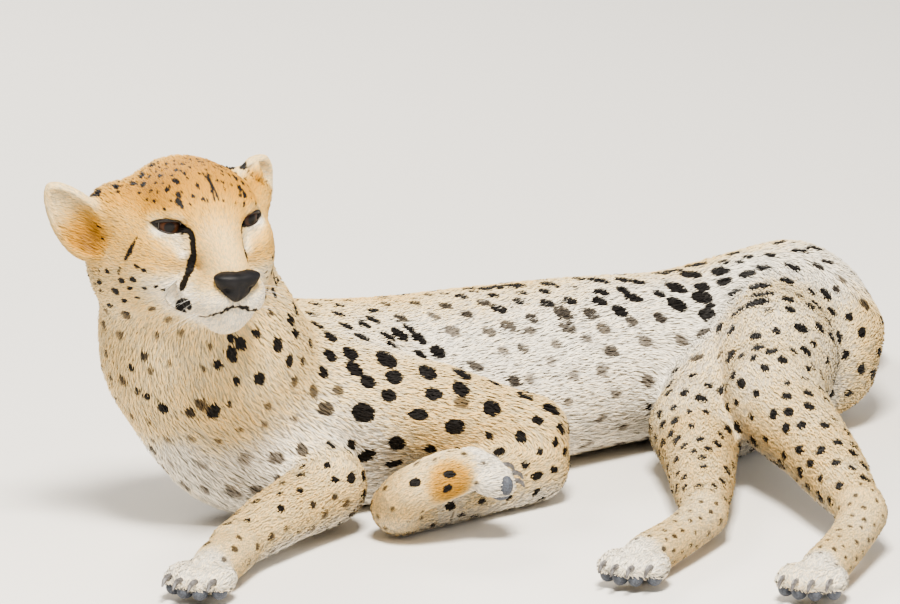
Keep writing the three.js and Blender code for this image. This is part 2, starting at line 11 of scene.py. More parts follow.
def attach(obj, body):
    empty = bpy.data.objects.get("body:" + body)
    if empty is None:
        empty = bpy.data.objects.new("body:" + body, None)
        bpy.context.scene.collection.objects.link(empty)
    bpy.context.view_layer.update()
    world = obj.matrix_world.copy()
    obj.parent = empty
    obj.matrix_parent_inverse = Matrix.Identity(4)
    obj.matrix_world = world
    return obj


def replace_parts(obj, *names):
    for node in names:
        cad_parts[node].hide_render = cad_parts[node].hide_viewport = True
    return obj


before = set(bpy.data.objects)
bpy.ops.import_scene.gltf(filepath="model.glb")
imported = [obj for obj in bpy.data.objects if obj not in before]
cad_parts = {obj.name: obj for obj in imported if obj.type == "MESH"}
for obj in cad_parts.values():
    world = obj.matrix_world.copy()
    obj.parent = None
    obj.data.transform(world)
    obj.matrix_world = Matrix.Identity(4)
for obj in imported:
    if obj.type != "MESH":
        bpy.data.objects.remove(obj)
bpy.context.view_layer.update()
started = time.time()

# the animal is laid out in millimetres about a point between the chest and the belly
layout = {"origin": (-0.05725, 0.11142, 0.0), "mm": 0.001}
originMm = np.array(layout["origin"]) * 1000


def say(words):
    print("%5.1f s  %s" % (time.time() - started, words))


def toRow(points):
    return (np.asarray(points, float) + originMm) * layout["mm"]


def toMm(points):
    return np.asarray(points, float) / layout["mm"] - originMm


def selectNone():
    bpy.ops.object.select_all(action="DESELECT")


def selectOnly(*things):
    selectNone()
    for thing in things:
        thing.select_set(True)
    bpy.context.view_layer.objects.active = things[0]


def readRows(rows, key, wide, kind=float):
    values = np.empty(len(rows) * wide, kind)
    rows.foreach_get(key, values)
    return values.reshape(-1, wide)


def readPoints(mesh):
    return readRows(mesh.vertices, "co", 3)


def edgesOf(mesh):
    return readRows(mesh.edges, "vertices", 2, np.int64)


def writePoints(mesh, points):
    mesh.vertices.foreach_set("co", np.asarray(points, float).ravel())
    mesh.update()


def unit(vectors):
    return vectors / np.maximum(np.linalg.norm(vectors, axis=-1, keepdims=True), 1e-9)


def ease(low, high, value):
    t = np.clip((value - low) / (high - low), 0, 1)
    return t * t * (3 - 2 * t)


def setAll(thing, values):
    for key, value in values.items():
        setattr(thing, key, value)
    return thing


def modify(piece, kind, **values):
    selectOnly(piece)
    made = setAll(piece.modifiers.new(kind.lower(), kind), values)
    bpy.ops.object.modifier_apply(modifier=made.name)


def editAll(operation, **values):
    bpy.ops.object.mode_set(mode="EDIT")
    bpy.ops.mesh.select_all(action="SELECT")
    operation(**values)
    bpy.ops.object.mode_set(mode="OBJECT")


def newBall(name, segments, rings):
    selectNone()
    bpy.ops.mesh.primitive_uv_sphere_add(segments=segments, ring_count=rings, radius=1, location=(0, 0, 0))
    ball = bpy.context.object
    ball.name = name
    return ball, readPoints(ball.data)


def newPiece(name, mesh):
    selectNone()
    bpy.ops.mesh.primitive_plane_add(size=0.01, location=(0, 0, 0))
    piece = bpy.context.object
    piece.name = name
    old, piece.data = piece.data, mesh
    bpy.data.meshes.remove(old)
    return piece


def tube(line, thick, flat, up, count):
    # rings of points around a line, one after the other
    turn = np.arange(count) / count * 2 * math.pi
    across, rise = np.cos(turn)[None, :, None], np.sin(turn)[None, :, None]
    rings = line[:, None] + thick[:, None, None] * (across * flat[:, None] + rise * up[:, None])
    return rings.reshape(-1, 3)


def addColors(mesh, name, *columns):
    made = mesh.attributes.new(name, "FLOAT_COLOR", "POINT")
    made.data.foreach_set("color", np.column_stack(columns).ravel())


def copyOf(names, called):
    copies = []
    for name in names:
        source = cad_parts[name]
        copy = source.copy()
        copy.data = source.data.copy()
        bpy.context.collection.objects.link(copy)
        copy.parent = None
        copy.matrix_world = Matrix.Identity(4)
        copies.append(copy)
    selectOnly(*copies)
    bpy.ops.object.join()
    piece = bpy.context.view_layer.objects.active
    piece.name = called
    piece.data.name = called
    piece.data.materials.clear()
    editAll(bpy.ops.mesh.remove_doubles, threshold=0.00002)
    return piece


def newPaint(name, color=None, rough=None, specular=None):
    paint = bpy.data.materials.new(name)
    paint.use_nodes = True
    surface = paint.node_tree.nodes["Principled BSDF"]
    if color:
        surface.inputs["Base Color"].default_value = (*color, 1)
    if rough is not None:
        surface.inputs["Roughness"].default_value = rough
    if specular is not None:
        surface.inputs["Specular IOR Level"].default_value = specular
    return paint, paint.node_tree, surface


# camera, floor and light
cameraSet = {
    "azimuth": -38, "elevation": 12.5, "distance": 8.0, "lens": 363.6,
    "target": (0.0, 0.0, 150.0), "sensor": 36, "farthest": 100,
}


def placeCamera():
    selectNone()
    turn = math.radians(cameraSet["azimuth"])
    rise = math.radians(cameraSet["elevation"])
    flat = math.cos(rise)
    back = Vector((math.sin(turn) * flat, -math.cos(turn) * flat, math.sin(rise)))
    target = Vector(toRow(cameraSet["target"]))
    bpy.ops.object.camera_add(location=target + back * cameraSet["distance"])
    camera = bpy.context.object
    camera.rotation_euler = (-back).to_track_quat("-Z", "Y").to_euler()
    camera.data.lens = cameraSet["lens"]
    camera.data.sensor_width = cameraSet["sensor"]
    camera.data.clip_end = cameraSet["farthest"]
    bpy.context.scene.camera = camera


studio = {
    "floor": (0.78, 0.76, 0.73), "floorSize": 30, "floorRough": 0.9, "aim": (0, 0, 0.15),
    "look": "AgX - Medium High Contrast",
    "sky": (1.0, 0.98, 0.95), "skyPower": 0.46,
    "key": {"at": (-1.3, -1.7, 3.2), "power": 330, "size": 0.9, "color": (1.0, 0.95, 0.86)},
    "fill": {"at": (2.6, -2.6, 1.7), "power": 22, "size": 1.6, "color": (0.95, 0.97, 1.0)},
    "rim": {"at": (0.6, 2.8, 2.2), "power": 80, "size": 1.2, "color": (1.0, 0.96, 0.88)},
}


def placeStudio():
    selectNone()
    bpy.ops.mesh.primitive_plane_add(size=studio["floorSize"], location=(0, 0, 0))
    floor = bpy.context.object
    floor.name = "floor"
    floor.data.materials.append(newPaint("floorPaint", studio["floor"], studio["floorRough"])[0])
    world = bpy.data.worlds.new("softRoom")
    bpy.context.scene.world = world
    world.use_nodes = True
    sky = world.node_tree.nodes["Background"]
    sky.inputs["Color"].default_value = (*studio["sky"], 1)
    sky.inputs["Strength"].default_value = studio["skyPower"]
    for name in ("key", "fill", "rim"):
        lamp = studio[name]
        at = Vector(lamp["at"])
        selectNone()
        bpy.ops.object.light_add(type="AREA", location=at)
        light = bpy.context.object
        light.name = name + "Light"
        light.data.energy = lamp["power"]
        light.data.size = lamp["size"]
        light.data.color = lamp["color"]
        light.rotation_euler = (Vector(studio["aim"]) - at).to_track_quat("-Z", "Y").to_euler()
    bpy.context.scene.view_settings.look = studio["look"]


placeCamera()
placeStudio()
say("camera and studio")


# how the body runs: bones from root to tip, in millimetres, with their thickness
bones = {
    "trunk": [
        (-330, -32, 92, 60), (-130, -8, 79, 90), (70, 0, 76, 86), (260, -4, 71, 78), (452, 10, 77, 55),
    ],
    "neck": [(-344, -60, 240, 66), (-303, -42, 162, 76), (-240, -28, 100, 84)],
    "foreUpperLeft": [(-200, -46, 100, 56), (-118, -92, 86, 49), (-18, -139, 62, 34)],
    "foreLowerLeft": [(-24, -146, 34, 35), (-110, -160, 28, 29), (-190, -174, 24, 24)],
    "pawLeft": [(-202, -182, 30, 22), (-204, -206, 48, 22), (-176, -222, 62, 22), (-148, -226, 63, 18)],
    "foreUpperRight": [(-262, -30, 70, 52), (-240, -70, 56, 44), (-226, -118, 44, 34)],
    "foreLowerRight": [(-232, -128, 40, 33), (-310, -160, 34, 28), (-384, -196, 26, 22)],
    "pawRight": [(-392, -204, 24, 21), (-420, -224, 23, 21), (-446, -240, 21, 18)],
    "thighLeft": [(330, -42, 80, 60), (268, -124, 84, 60), (186, -222, 80, 45)],
    "shankLeft": [(176, -238, 76, 43), (136, -350, 54, 33), (86, -456, 38, 23)],
    "footLeft": [(80, -468, 36, 21), (34, -502, 27, 19), (-22, -540, 22, 20), (-48, -556, 21, 18)],
    "thighRight": [(338, -20, 62, 66), (246, -94, 54, 60), (150, -158, 46, 42)],
    "shankRight": [(142, -170, 42, 40), (72, -262, 33, 31), (2, -350, 27, 22)],
    "footRight": [(-8, -360, 26, 20), (-56, -388, 23, 19), (-112, -416, 21, 20), (-134, -428, 21, 18)],
    "tail": [
        (424, 14, 92, 25), (502, 44, 60, 24), (566, 112, 30, 23), (584, 200, 24, 22),
        (540, 288, 24, 21), (432, 344, 24, 20), (284, 352, 24, 19), (136, 332, 24, 17),
    ],
}


def euler(x, y, z, order="XYZ"):
    a, b, c = (Matrix.Rotation(math.radians({"X": x, "Y": y, "Z": z}[axis]), 3, axis) for axis in order)
    return np.array(a @ b @ c)


headAt = {"at": (-347, -84, 284), "yaw": 167, "pitch": -9}
headTurn = euler(headAt["pitch"], 0, headAt["yaw"], "ZXY")


def toHead(points):
    return (np.asarray(points) - np.array(headAt["at"])) @ headTurn


def fromHead(points):
    return np.asarray(points) @ headTurn.T + np.array(headAt["at"])


sides = ((1, "right"), (-1, "left"))


def mirrored(q, side):
    return np.column_stack([q[:, 0] * side, q[:, 1], q[:, 2]])


def halved(q):
    return np.column_stack([np.abs(q[:, 0]), q[:, 1], q[:, 2]])


def boneDistance(points, bone):
    best = np.full(len(points), 1e9)
    lie = np.zeros((len(points), 3))
    along = np.zeros(len(points))
    steps = [np.linalg.norm(np.subtract(b[0], a[0])) for a, b in zip(bone, bone[1:])]
    total, gone = sum(steps), 0.0
    for (a, ra), (b, rb), step in zip(bone, bone[1:], steps):
        a, b = np.array(a, float), np.array(b, float)
        t = np.clip((points - a) @ (b - a) / step ** 2, 0, 1)
        gap = np.linalg.norm(points - a - t[:, None] * (b - a), axis=1) - (ra + (rb - ra) * t)
        near = gap < best
        best[near] = gap[near]
        lie[near] = (b - a) / step
        along[near] = ((gone + t * step) / total)[near]
        gone += step
    return best, lie, along


# the form that the skin follows, as distances in millimetres
def blend(a, b, k):
    h = np.maximum(k - np.abs(a - b), 0) / k
    return np.minimum(a, b) - h * h * k / 4


def carve(a, b, k):
    return -blend(-a, b, k)


def lump(points, at, r, turn=None):
    q = points - np.array(at, float)
    if turn is not None:
        q = q @ turn
    r = np.array(r, float)
    size = np.linalg.norm(q / r, axis=1)
    steep = np.linalg.norm(q / r ** 2, axis=1)
    return size * (size - 1) / np.maximum(steep, 1e-6)


def bar(points, a, b, ra, rb):
    a, b = np.array(a, float), np.array(b, float)
    t = np.clip((points - a) @ (b - a) / ((b - a) @ (b - a)), 0, 1)
    return np.linalg.norm(points - a - t[:, None] * (b - a), axis=1) - ra - (rb - ra) * t


def curved(rows, steps=4):
    rows = np.array(rows, float)
    points, radii = rows[:, :3], rows[:, 3]
    ends = np.vstack([2 * points[0] - points[1], points, 2 * points[-1] - points[-2]])
    made = []
    for i in range(len(points) - 1):
        p0, p1, p2, p3 = ends[i:i + 4]
        for t in np.arange(steps) / steps:
            place = 0.5 * (2 * p1 + (p2 - p0) * t + (2 * p0 - 5 * p1 + 4 * p2 - p3) * t ** 2
                           + (3 * p1 - p0 - 3 * p2 + p3) * t ** 3)
            share = t * t * (3 - 2 * t)
            made.append((place, radii[i] + (radii[i + 1] - radii[i]) * share))
    made.append((points[-1], radii[-1]))
    return made


bones = {name: curved(bone) for name, bone in bones.items()}

trunkRows = np.array([
    # x, y, z, deep, wide, lean
    (-330, -32, 92, 36, 32, 50), (-290, -27, 90, 74, 56, 47), (-220, -18, 85, 100, 72, 42),
    (-130, -8, 79, 107, 75, 33), (-40, -2, 75, 106, 74, 26), (70, 0, 76, 100, 72, 21),
    (165, -2, 75, 92, 72, 18), (260, -4, 71, 86, 70, 16), (345, -2, 74, 85, 73, 15),
    (412, 4, 80, 74, 71, 15), (456, 10, 82, 44, 46, 15),
], float)


def trunkTable(rows, steps=500):
    fine = np.linspace(rows[0, 0], rows[-1, 0], steps)
    slope = np.gradient(rows[:, 1:], rows[:, 0], axis=0)
    place = np.clip(np.searchsorted(rows[:, 0], fine) - 1, 0, len(rows) - 2)
    step = rows[place + 1, 0] - rows[place, 0]
    t = ((fine - rows[place, 0]) / step)[:, None]
    a, b = rows[place, 1:], rows[place + 1, 1:]
    ma, mb = slope[place] * step[:, None], slope[place + 1] * step[:, None]
    return fine, a + t * (ma + t * (3 * (b - a) - 2 * ma - mb + t * (ma + mb - 2 * (b - a))))


trunkX, trunkColumns = trunkTable(trunkRows)


def trunkAcross(points):
    y, z, deep, wide, lean = (np.interp(points[:, 0], trunkX, column) for column in trunkColumns.T)
    c, s = np.cos(np.radians(lean)), np.sin(np.radians(lean))
    back = (points[:, 1] - y) * c + (points[:, 2] - z) * s
    up = (points[:, 2] - z) * c - (points[:, 1] - y) * s
    return back, up, deep, wide


def trunkForm(points):
    back, up, deep, wide = trunkAcross(points)
    size = np.hypot(back / deep, up / wide)
    steep = np.hypot(back / deep ** 2, up / wide ** 2)
    around = size * (size - 1) / np.maximum(steep, 1e-6)
    past = np.abs(points[:, 0] - np.clip(points[:, 0], trunkRows[0, 0], trunkRows[-1, 0]))
    return np.where(past > 0, np.hypot(np.maximum(around, 0), past) + np.minimum(around, 0) * 0.2, around)


neckForm = [((-252, -30, 102), 80), ((-303, -42, 162), 80), ((-340, -58, 232), 68)]
# shoulder and the two haunches: middle, radii, turn
bodyLumps = [
    ((-172, -22, 106), (92, 88, 54), (12, 8, -14)),
    ((345, -40, 82), (100, 88, 50), (6, -4, -10)),
    ((326, -52, 44), (94, 72, 44), (0, 0, -20)),
]

limbs = [
    # chain from the body outwards, and how far the root blends into the trunk
    (("foreUpperLeft", "foreLowerLeft", "pawLeft"), 30),
    (("foreUpperRight", "foreLowerRight", "pawRight"), 24),
    (("thighLeft", "shankLeft", "footLeft"), 34),
    (("thighRight", "shankRight", "footRight"), 24),
    (("tail",), 22),
]

paws = {
    # end of the leg, way ahead, way up, radii of a toe, half width over the toes
    "pawLeft": ((-148, -226, 63), (1, -0.02, -0.18), (0.1, -0.35, 1), (12, 23, 13.5), 21),
    "pawRight": ((-446, -240, 21), (-0.9, -0.44, -0.04), (0, 0, 1), (12, 22, 13), 21),
    "footLeft": ((-48, -556, 21), (-0.83, -0.55, 0), (0, 0, 1), (12, 23, 13), 20.5),
    "footRight": ((-134, -428, 21), (-0.86, -0.5, 0), (0, 0, 1), (12, 23, 13), 20.5),
}
paws = {name: dict(zip(("end", "ahead", "up", "toe", "width"), row)) for name, row in paws.items()}


def pawAxes(paw):
    f = unit(np.array(paw["ahead"], float))
    side = unit(np.cross(f, paw["up"]))
    return side, f, np.cross(side, f)


def toePlaces(paw):
    side, f, top = pawAxes(paw)
    for n in range(4):
        across = (n - 1.5) / 1.5 * paw["width"]
        reach = (-5, 3, 3, -5)[n] + paw["toe"][1] * 0.55
        splay = math.radians((9, 3, -3, -9)[n])
        at = np.array(paw["end"], float) + side * across + f * reach - top * 2
        c, s = math.cos(splay), math.sin(splay)
        yield at, np.column_stack([side * c + f * s, f * c - side * s, top])


def chainForm(points, chain):
    total = None
    for name in chain:
        part = np.full(len(points), 400.0)
        places = np.array([p for p, r in bones[name]])
        box = 90
        near = np.all((points > places.min(0) - box) & (points < places.max(0) + box), axis=1)
        if near.any():
            some = points[near]
            found = np.full(len(some), 400.0)
            for (a, ra), (b, rb) in zip(bones[name], bones[name][1:]):
                found = np.minimum(found, bar(some, a, b, ra, rb))
            if name in paws:
                toes = np.full(len(some), 400.0)
                for at, turn in toePlaces(paws[name]):
                    toes = blend(toes, lump(some, at, paws[name]["toe"], turn), 1.2)
                found = blend(found, toes, 3)
                side, f, top = pawAxes(paws[name])
                end, toe = np.array(paws[name]["end"], float), paws[name]["toe"]
                for n in (-1, 0, 1):
                    start = end + side * n * paws[name]["width"] / 1.5 + top * (toe[2] - 1.5)
                    stop = start + f * toe[1] * 1.5 - top * toe[2]
                    found = carve(found, bar(some, start + f * 3, stop, 3.0, 3.6), 3)
            part[near] = found
        total = part if total is None else blend(total, part, 7 if name in paws else 12)
    return total


def bodyForm(points):
    total = trunkForm(points)
    for at, r, turn in bodyLumps:
        total = blend(total, lump(points, at, r, euler(*turn)), 34)
    for (a, ra), (b, rb) in zip(neckForm, neckForm[1:]):
        total = blend(total, bar(points, a, b, ra, rb), 40)
    for chain, reach in limbs:
        far = np.linalg.norm(points - np.array(bones[chain[0]][0][0]), axis=1)
        total = blend(total, chainForm(points, chain), 5 + reach * np.exp(-(far / 110) ** 2))
    return total


# the head, in its own frame: x to the animal's right, y out of the nose, z up
headForms = [
    # middle, radii, how softly it joins
    ((0, -8, 3), (55, 64, 49), 1), ((0, 24, 19), (45, 35, 30), 22),
    ((0, 89, -56), (15, 13, 12), 8), ((0, -14, -44), (44, 44, 32), 24),
]
headPairs = [
    ((40, 14, -22), (30, 44, 36), 22), ((47, -24, -36), (31, 37, 38), 24),
    ((56, -20, 10), (28, 30, 21), 18),
    ((15, 88, -36), (18, 23, 19), 14), ((31, 70, -45), (13, 18, 13), 13),
    ((27, 41, 24), (16, 11, 9), 9), ((42, 34, -4), (15, 18, 10), 12), ((19, 74, -36), (16, 20, 14), 8),
]
headBars = [((0, 30, 13), (0, 92, -16), 27, 17, 16), ((0, 20, -42), (0, 80, -51), 30, 17, 18)]
headHollows = {"eye": ((36, 53, 6), (14, 9, 9), 9), "nose": ((0, 117, -22), (23, 10, 12), 4)}
eyeSet = {"at": (31.2, 30, 12), "r": 17.6, "wide": 15.4, "high": 6.2, "slant": -1.0, "out": 22, "lid": 2.6}
earSet = {
    "left": {"at": (57, -15, 8), "turn": (-4, 32, -24), "r": (33, 13, 42)},
    "right": {"at": (93, -20, 0), "turn": (-4, 39, -24), "r": (23, 13, 43)},
    "taper": 0.28, "cup": (0, 10, 3), "less": (4, 1.5, 5), "dark": {"left": (-2, 6), "right": (-10, -8)},
}
mouthLine = [
    (0, 106.4, -36.5), (0, 106.2, -40.6), (6.4, 108.2, -43.5), (12.6, 107.8, -46.2), (19.4, 104, -48.9),
    (24, 97.2, -52.1), (27.5, 90, -53.9), (32.7, 80, -52), (35, 67, -50),
]


def eyeAxes():
    out = math.radians(eyeSet["out"])
    f = unit(np.array([math.sin(out), math.cos(out), 0.05]))
    up = unit(np.array([0, -0.05, 1.0]))
    side = np.cross(up, f)
    return side, up, f


def lidHeight(s, upper):
    t = np.clip(s / eyeSet["wide"], -1, 1)
    bow = (1 - t * t) ** 0.68
    rise = eyeSet["high"] * (1.0 if upper else -0.82) * bow * (1 + (0.24 if upper else 0.2) * t)
    return rise + eyeSet["slant"] * t


def onEye(q):
    side, up, f = eyeAxes()
    d = halved(q) - np.array(eyeSet["at"])
    return d @ side, d @ up, d @ f, np.linalg.norm(d, axis=1)


def almond(s, t):
    inside = np.minimum(lidHeight(s, True) - t, t - lidHeight(s, False))
    return np.maximum(-inside, np.abs(s) - eyeSet["wide"])


def headForm(q):
    m = halved(q)
    total = None
    for at, r, k in headForms:
        part = lump(q, at, r)
        total = part if total is None else blend(total, part, k)
    for a, b, ra, rb, k in headBars:
        total = blend(total, bar(q, a, b, ra, rb), k)
    for at, r, k in headPairs:
        total = blend(total, lump(m, at, r), k)
    # hollows below the eyes and where the nose leather sits
    for places, (at, r, k) in ((m, headHollows["eye"]), (q, headHollows["nose"])):
        total = carve(total, lump(places, at, r), k)
    s, t, ahead, far = onEye(q)
    total = blend(total, far - eyeSet["r"] - eyeSet["lid"], 4)
    hole = np.maximum(almond(s, t), np.maximum(eyeSet["r"] - 2.5 - far, -ahead))
    total = np.maximum(total, -hole)
    groove = np.full(len(q), 99.0)
    for a, b in zip(mouthLine, mouthLine[1:]):
        groove = np.minimum(groove, bar(m, a, b, 1.6, 1.6))
    total = carve(total, groove, 2)
    return total


def tapered(q, r):
    narrow = 1 - earSet["taper"] * np.clip(q[:, 2] / r[2], -1.1, 1.1)
    return lump(np.column_stack([q[:, 0] / narrow, q[:, 1], q[:, 2]]), (0, 0, 0), r)


def earTurn(key):
    return euler(*earSet[key]["turn"], "ZYX")


def inEar(q, side, key):
    # places of the head in one ear's own frame: x across, y out of the cup, z to the tip
    return (mirrored(q, side) - np.array(earSet[key]["at"], float)) @ earTurn(key)


def earForm(q):
    total = np.full(len(q), 99.0)
    for side, key in sides:
        place, r = inEar(q, side, key), earSet[key]["r"]
        hollow = tapered(place - np.array(earSet["cup"], float), np.subtract(r, earSet["less"]))
        total = np.minimum(total, carve(tapered(place, r), hollow, 2))
    return total


def wholeForm(points):
    total = bodyForm(points)
    near = (points[:, 0] < -200) & (points[:, 2] > 110)
    if near.any():
        q = toHead(points[near])
        part = blend(total[near], headForm(q), 30)
        part = blend(part, earForm(q), 5)
        total[near] = part
    return total


def slopeOf(points, base, step=0.6):
    found = np.empty_like(points)
    for axis in range(3):
        ahead = points.copy()
        ahead[:, axis] += step
        found[:, axis] = (wholeForm(ahead) - base) / step
    return found


def settle(points, depth, turns=3, reach=15):
    q = points.copy()
    for turn in range(turns):
        away = wholeForm(q)
        slope = slopeOf(q, away)
        steep = np.maximum((slope ** 2).sum(1), 0.25)
        move = slope * ((away + depth) / steep)[:, None]
        size = np.linalg.norm(move, axis=1, keepdims=True)
        q -= move * np.minimum(1, 5 / np.maximum(size, 1e-6))
    moved = q - points
    size = np.linalg.norm(moved, axis=1, keepdims=True)
    return points + moved * np.minimum(1, reach / np.maximum(size, 1e-6))


# the skin: one closed surface in place of all the nodes of flesh
skinSet = {
    "voxel": 0.0023, "quickVoxel": 0.0036, "triangles": 196000,
    "depth": 3.6, "faceDepth": 1.3, "footDepth": 2.0, "earDepth": 0.7, "floor": 0.6, "levels": 5,
}
flesh = ["head", "ear_left", "ear_right", "neck", "chest", "belly", "haunch", "tail_1", "tail_2", "tail_3"]
for leg, parts in (("foreleg", ("upper", "lower", "paw")), ("hindleg", ("thigh", "shank", "foot"))):
    flesh += [leg + "_" + side + "_" + part for side in ("left", "right") for part in parts]


def faceShare(points):
    q = toHead(points)
    return ease(-30, 20, q[:, 1]) * ease(-85, -62, q[:, 2]) * ease(90, 70, np.abs(q[:, 0]))


def footShare(points):
    share = np.zeros(len(points))
    for name in paws:
        gap = boneDistance(points, bones[name])[0]
        share = np.maximum(share, ease(14, 2, gap))
    return share


def earShare(points):
    return ease(5, 1, earForm(toHead(points))) * ease(-200, -230, points[:, 0])


def fineShare(points):
    return np.maximum(np.maximum(faceShare(points), earShare(points)), footShare(points))


def coatDepth(points):
    depth = np.full(len(points), skinSet["depth"])
    for shareOf, name in ((faceShare, "faceDepth"), (footShare, "footDepth"), (earShare, "earDepth")):
        depth += (skinSet[name] - depth) * shareOf(points)
    return depth


def keepLargest(piece):
    mesh = piece.data
    links = edgesOf(mesh)
    label = np.arange(len(mesh.vertices))
    while True:
        low = np.minimum(label[links[:, 0]], label[links[:, 1]])
        fresh = label.copy()
        np.minimum.at(fresh, links[:, 0], low)
        np.minimum.at(fresh, links[:, 1], low)
        fresh = fresh[fresh]
        if (fresh == label).all():
            break
        label = fresh
    values, counts = np.unique(label, return_counts=True)
    if len(values) == 1:
        return
    drop = np.nonzero(label != values[counts.argmax()])[0]
    work = bmesh.new()
    work.from_mesh(mesh)
    work.verts.ensure_lookup_table()
    bmesh.ops.delete(work, geom=[work.verts[i] for i in drop], context="VERTS")
    work.to_mesh(mesh)
    work.free()


def evened(values, links, turns, share=0.5, weight=None):
    count = np.bincount(links.ravel(), minlength=len(values)).astype(float)[:, None]
    for turn in range(turns):
        total = [np.bincount(links[:, 0], column[links[:, 1]], len(values))
                 + np.bincount(links[:, 1], column[links[:, 0]], len(values)) for column in values.T]
        step = (np.column_stack(total) / count - values) * share
        values = values + (step if weight is None else step * weight[:, None])
    return values


def makeSkin():
    skin = copyOf(flesh + ["eye_left", "eye_right", "nose"], "skin")
    modify(skin, "REMESH", mode="VOXEL", voxel_size=skinSet["voxel"])
    keepLargest(skin)
    say("skin remeshed: %d faces" % len(skin.data.polygons))
    points = toMm(readPoints(skin.data))
    fine = fineShare(points)
    smooth = evened(points, edgesOf(skin.data), 14, 0.6, 1 - 0.85 * fine)
    writePoints(skin.data, toRow(smooth))
    group = skin.vertex_groups.new(name="coarse")
    levels = skinSet["levels"]
    steps = np.round((1 - fine) * levels).astype(int)
    for value in range(levels + 1):
        group.add(np.nonzero(steps == value)[0].tolist(), value / levels, "REPLACE")
    ratio = min(1, skinSet["triangles"] / (2 * len(skin.data.polygons)))
    if ratio < 1:
        modify(skin, "DECIMATE", ratio=ratio, vertex_group=group.name, vertex_group_factor=1.2,
               use_collapse_triangulate=True)
    say("skin thinned: %d faces" % len(skin.data.polygons))
    points = toMm(readPoints(skin.data))
    settled = settle(points, coatDepth(points))
    settled = evened(settled, edgesOf(skin.data), 8, 0.5, 1 - 0.9 * fineShare(points))
    settled[:, 2] = np.maximum(settled[:, 2], skinSet["floor"])
    writePoints(skin.data, toRow(settled))
    skin.vertex_groups.clear()
    bpy.ops.object.shade_smooth()
    say("skin settled")
    return skin


skin = makeSkin()
skinMesh = skin.data
skinMesh.calc_loop_triangles()
skinPoints = toMm(readPoints(skinMesh))
skinNormals = readRows(skinMesh.vertices, "normal", 3)
skinLinks = edgesOf(skinMesh)
skinCorners = readRows(skinMesh.loop_triangles, "vertices", 3, np.int64)
skinLoops = readRows(skinMesh.loop_triangles, "loops", 3, np.int64)
headSpace = toHead(skinPoints)


# which way the coat lies
def tangent(directions, normals):
    return unit(directions - normals * (directions * normals).sum(1, keepdims=True))


def earPlaces():
    # how far inside the cup, the height from base to tip, and how near the rim
    inner, height, fold = np.zeros((3, len(skinPoints)))
    for side, key in sides:
        q, r = inEar(headSpace, side, key), earSet[key]["r"]
        mine = headSpace[:, 0] * side > 0
        front = mirrored(skinNormals @ headTurn, side) @ earTurn(key)
        size = np.hypot(q[:, 0] / r[0], q[:, 2] / r[2])
        inner[mine] = (ease(0.1, 0.5, front[:, 1]) * ease(0.98, 0.8, size))[mine]
        height[mine] = (q[:, 2] / r[2])[mine]
        fold[mine] = size[mine]
    return inner, height, fold


def coatLie():
    total = np.zeros_like(skinPoints)
    for bone in bones.values():
        gap, lie = boneDistance(skinPoints, bone)[:2]
        total += lie * np.exp(-np.clip(gap, -6, 200) / 10)[:, None]
    # on the head it fans out from the nose
    fan = unit(headSpace - np.array([0, 116, -24.0])) @ headTurn.T
    near = (4 * np.exp(-np.clip(headForm(headSpace), -6, 200) / 10))[:, None]
    total += fan * near * ease(-75, -30, headSpace[:, 1])[:, None]
    total = unit(total)
    ears = earShare(skinPoints)[:, None]
    inward = (earPlaces()[0] * 2.0)[:, None]
    for side, key in sides:
        across, up = (earTurn(key)[:, k] * np.array([side, 1, 1]) @ headTurn.T for k in (0, 2))
        mine = (headSpace[:, 0] * side > 0)[:, None] * ears
        total += (up * 3 + across * inward) * mine
    lie = tangent(total, skinNormals)
    for turn in range(3):
        lie = tangent(evened(lie, skinLinks, 6, 0.6), skinNormals)
    return lie


skinLie = coatLie()
say("coat lie")


# markings, kept as distances in millimetres so that skin and coat share one edge
backShare, deepHere = trunkAcross(skinPoints)[::2]
backShare = backShare / deepHere

spotSet = {
    "seed": 41, "tries": 15000, "clip": 8.0,
    # how much the spots differ in size, in slimness and in turn, and the second lobe of each
    "sizes": (0.75, 1.2), "slim": (0.54, 0.74), "turn": 0.2, "lobe": (0.28, 0.35), "lobeSize": 0.85,
    # from spot to spot, and half a spot's length
    "gap": {
        "base": 17.5, "trunk": 16.5, "head": 6.2, "foreUpper": 17, "foreLower": 13,
        "hindUpper": 16.5, "hindLower": 13, "feet": 9.5, "tail": 15.5,
    },
    "length": {
        "base": 7.6, "trunk": 8.6, "head": 2.2, "foreUpper": 9.0, "foreLower": 6.0,
        "hindUpper": 8.8, "hindLower": 6.4, "feet": 3.2, "tail": 7.4,
    },
    "spine": (14, 6.6), "belly": (20, 7.0), "neck": (14, 4.6),
}


def limbShare(names, reach=6):
    share = np.zeros(len(skinPoints))
    for name in names:
        gap = boneDistance(skinPoints, bones[name])[0]
        share = np.maximum(share, ease(reach + 16, reach, gap))
    return share


# how far each point belongs to a part of the body
tailGap, tailAlong = boneDistance(skinPoints, bones["tail"])[::2]
regions = {
    "trunk": ease(30, 4, trunkForm(skinPoints)),
    "head": ease(14, 2, headForm(headSpace)) * ease(-60, -30, headSpace[:, 1]),
    "foreUpper": limbShare(("foreUpperLeft", "foreUpperRight")),
    "foreLower": limbShare(("foreLowerLeft", "foreLowerRight")),
    "hindUpper": limbShare(("thighLeft", "thighRight"), 10),
    "hindLower": limbShare(("shankLeft", "shankRight")),
    "feet": footShare(skinPoints),
    "tail": ease(20, 4, tailGap),
}


def regional(base, **values):
    found = np.full(len(skinPoints), float(base))
    for name, value in values.items():
        found += (value - found) * regions[name]
    return found


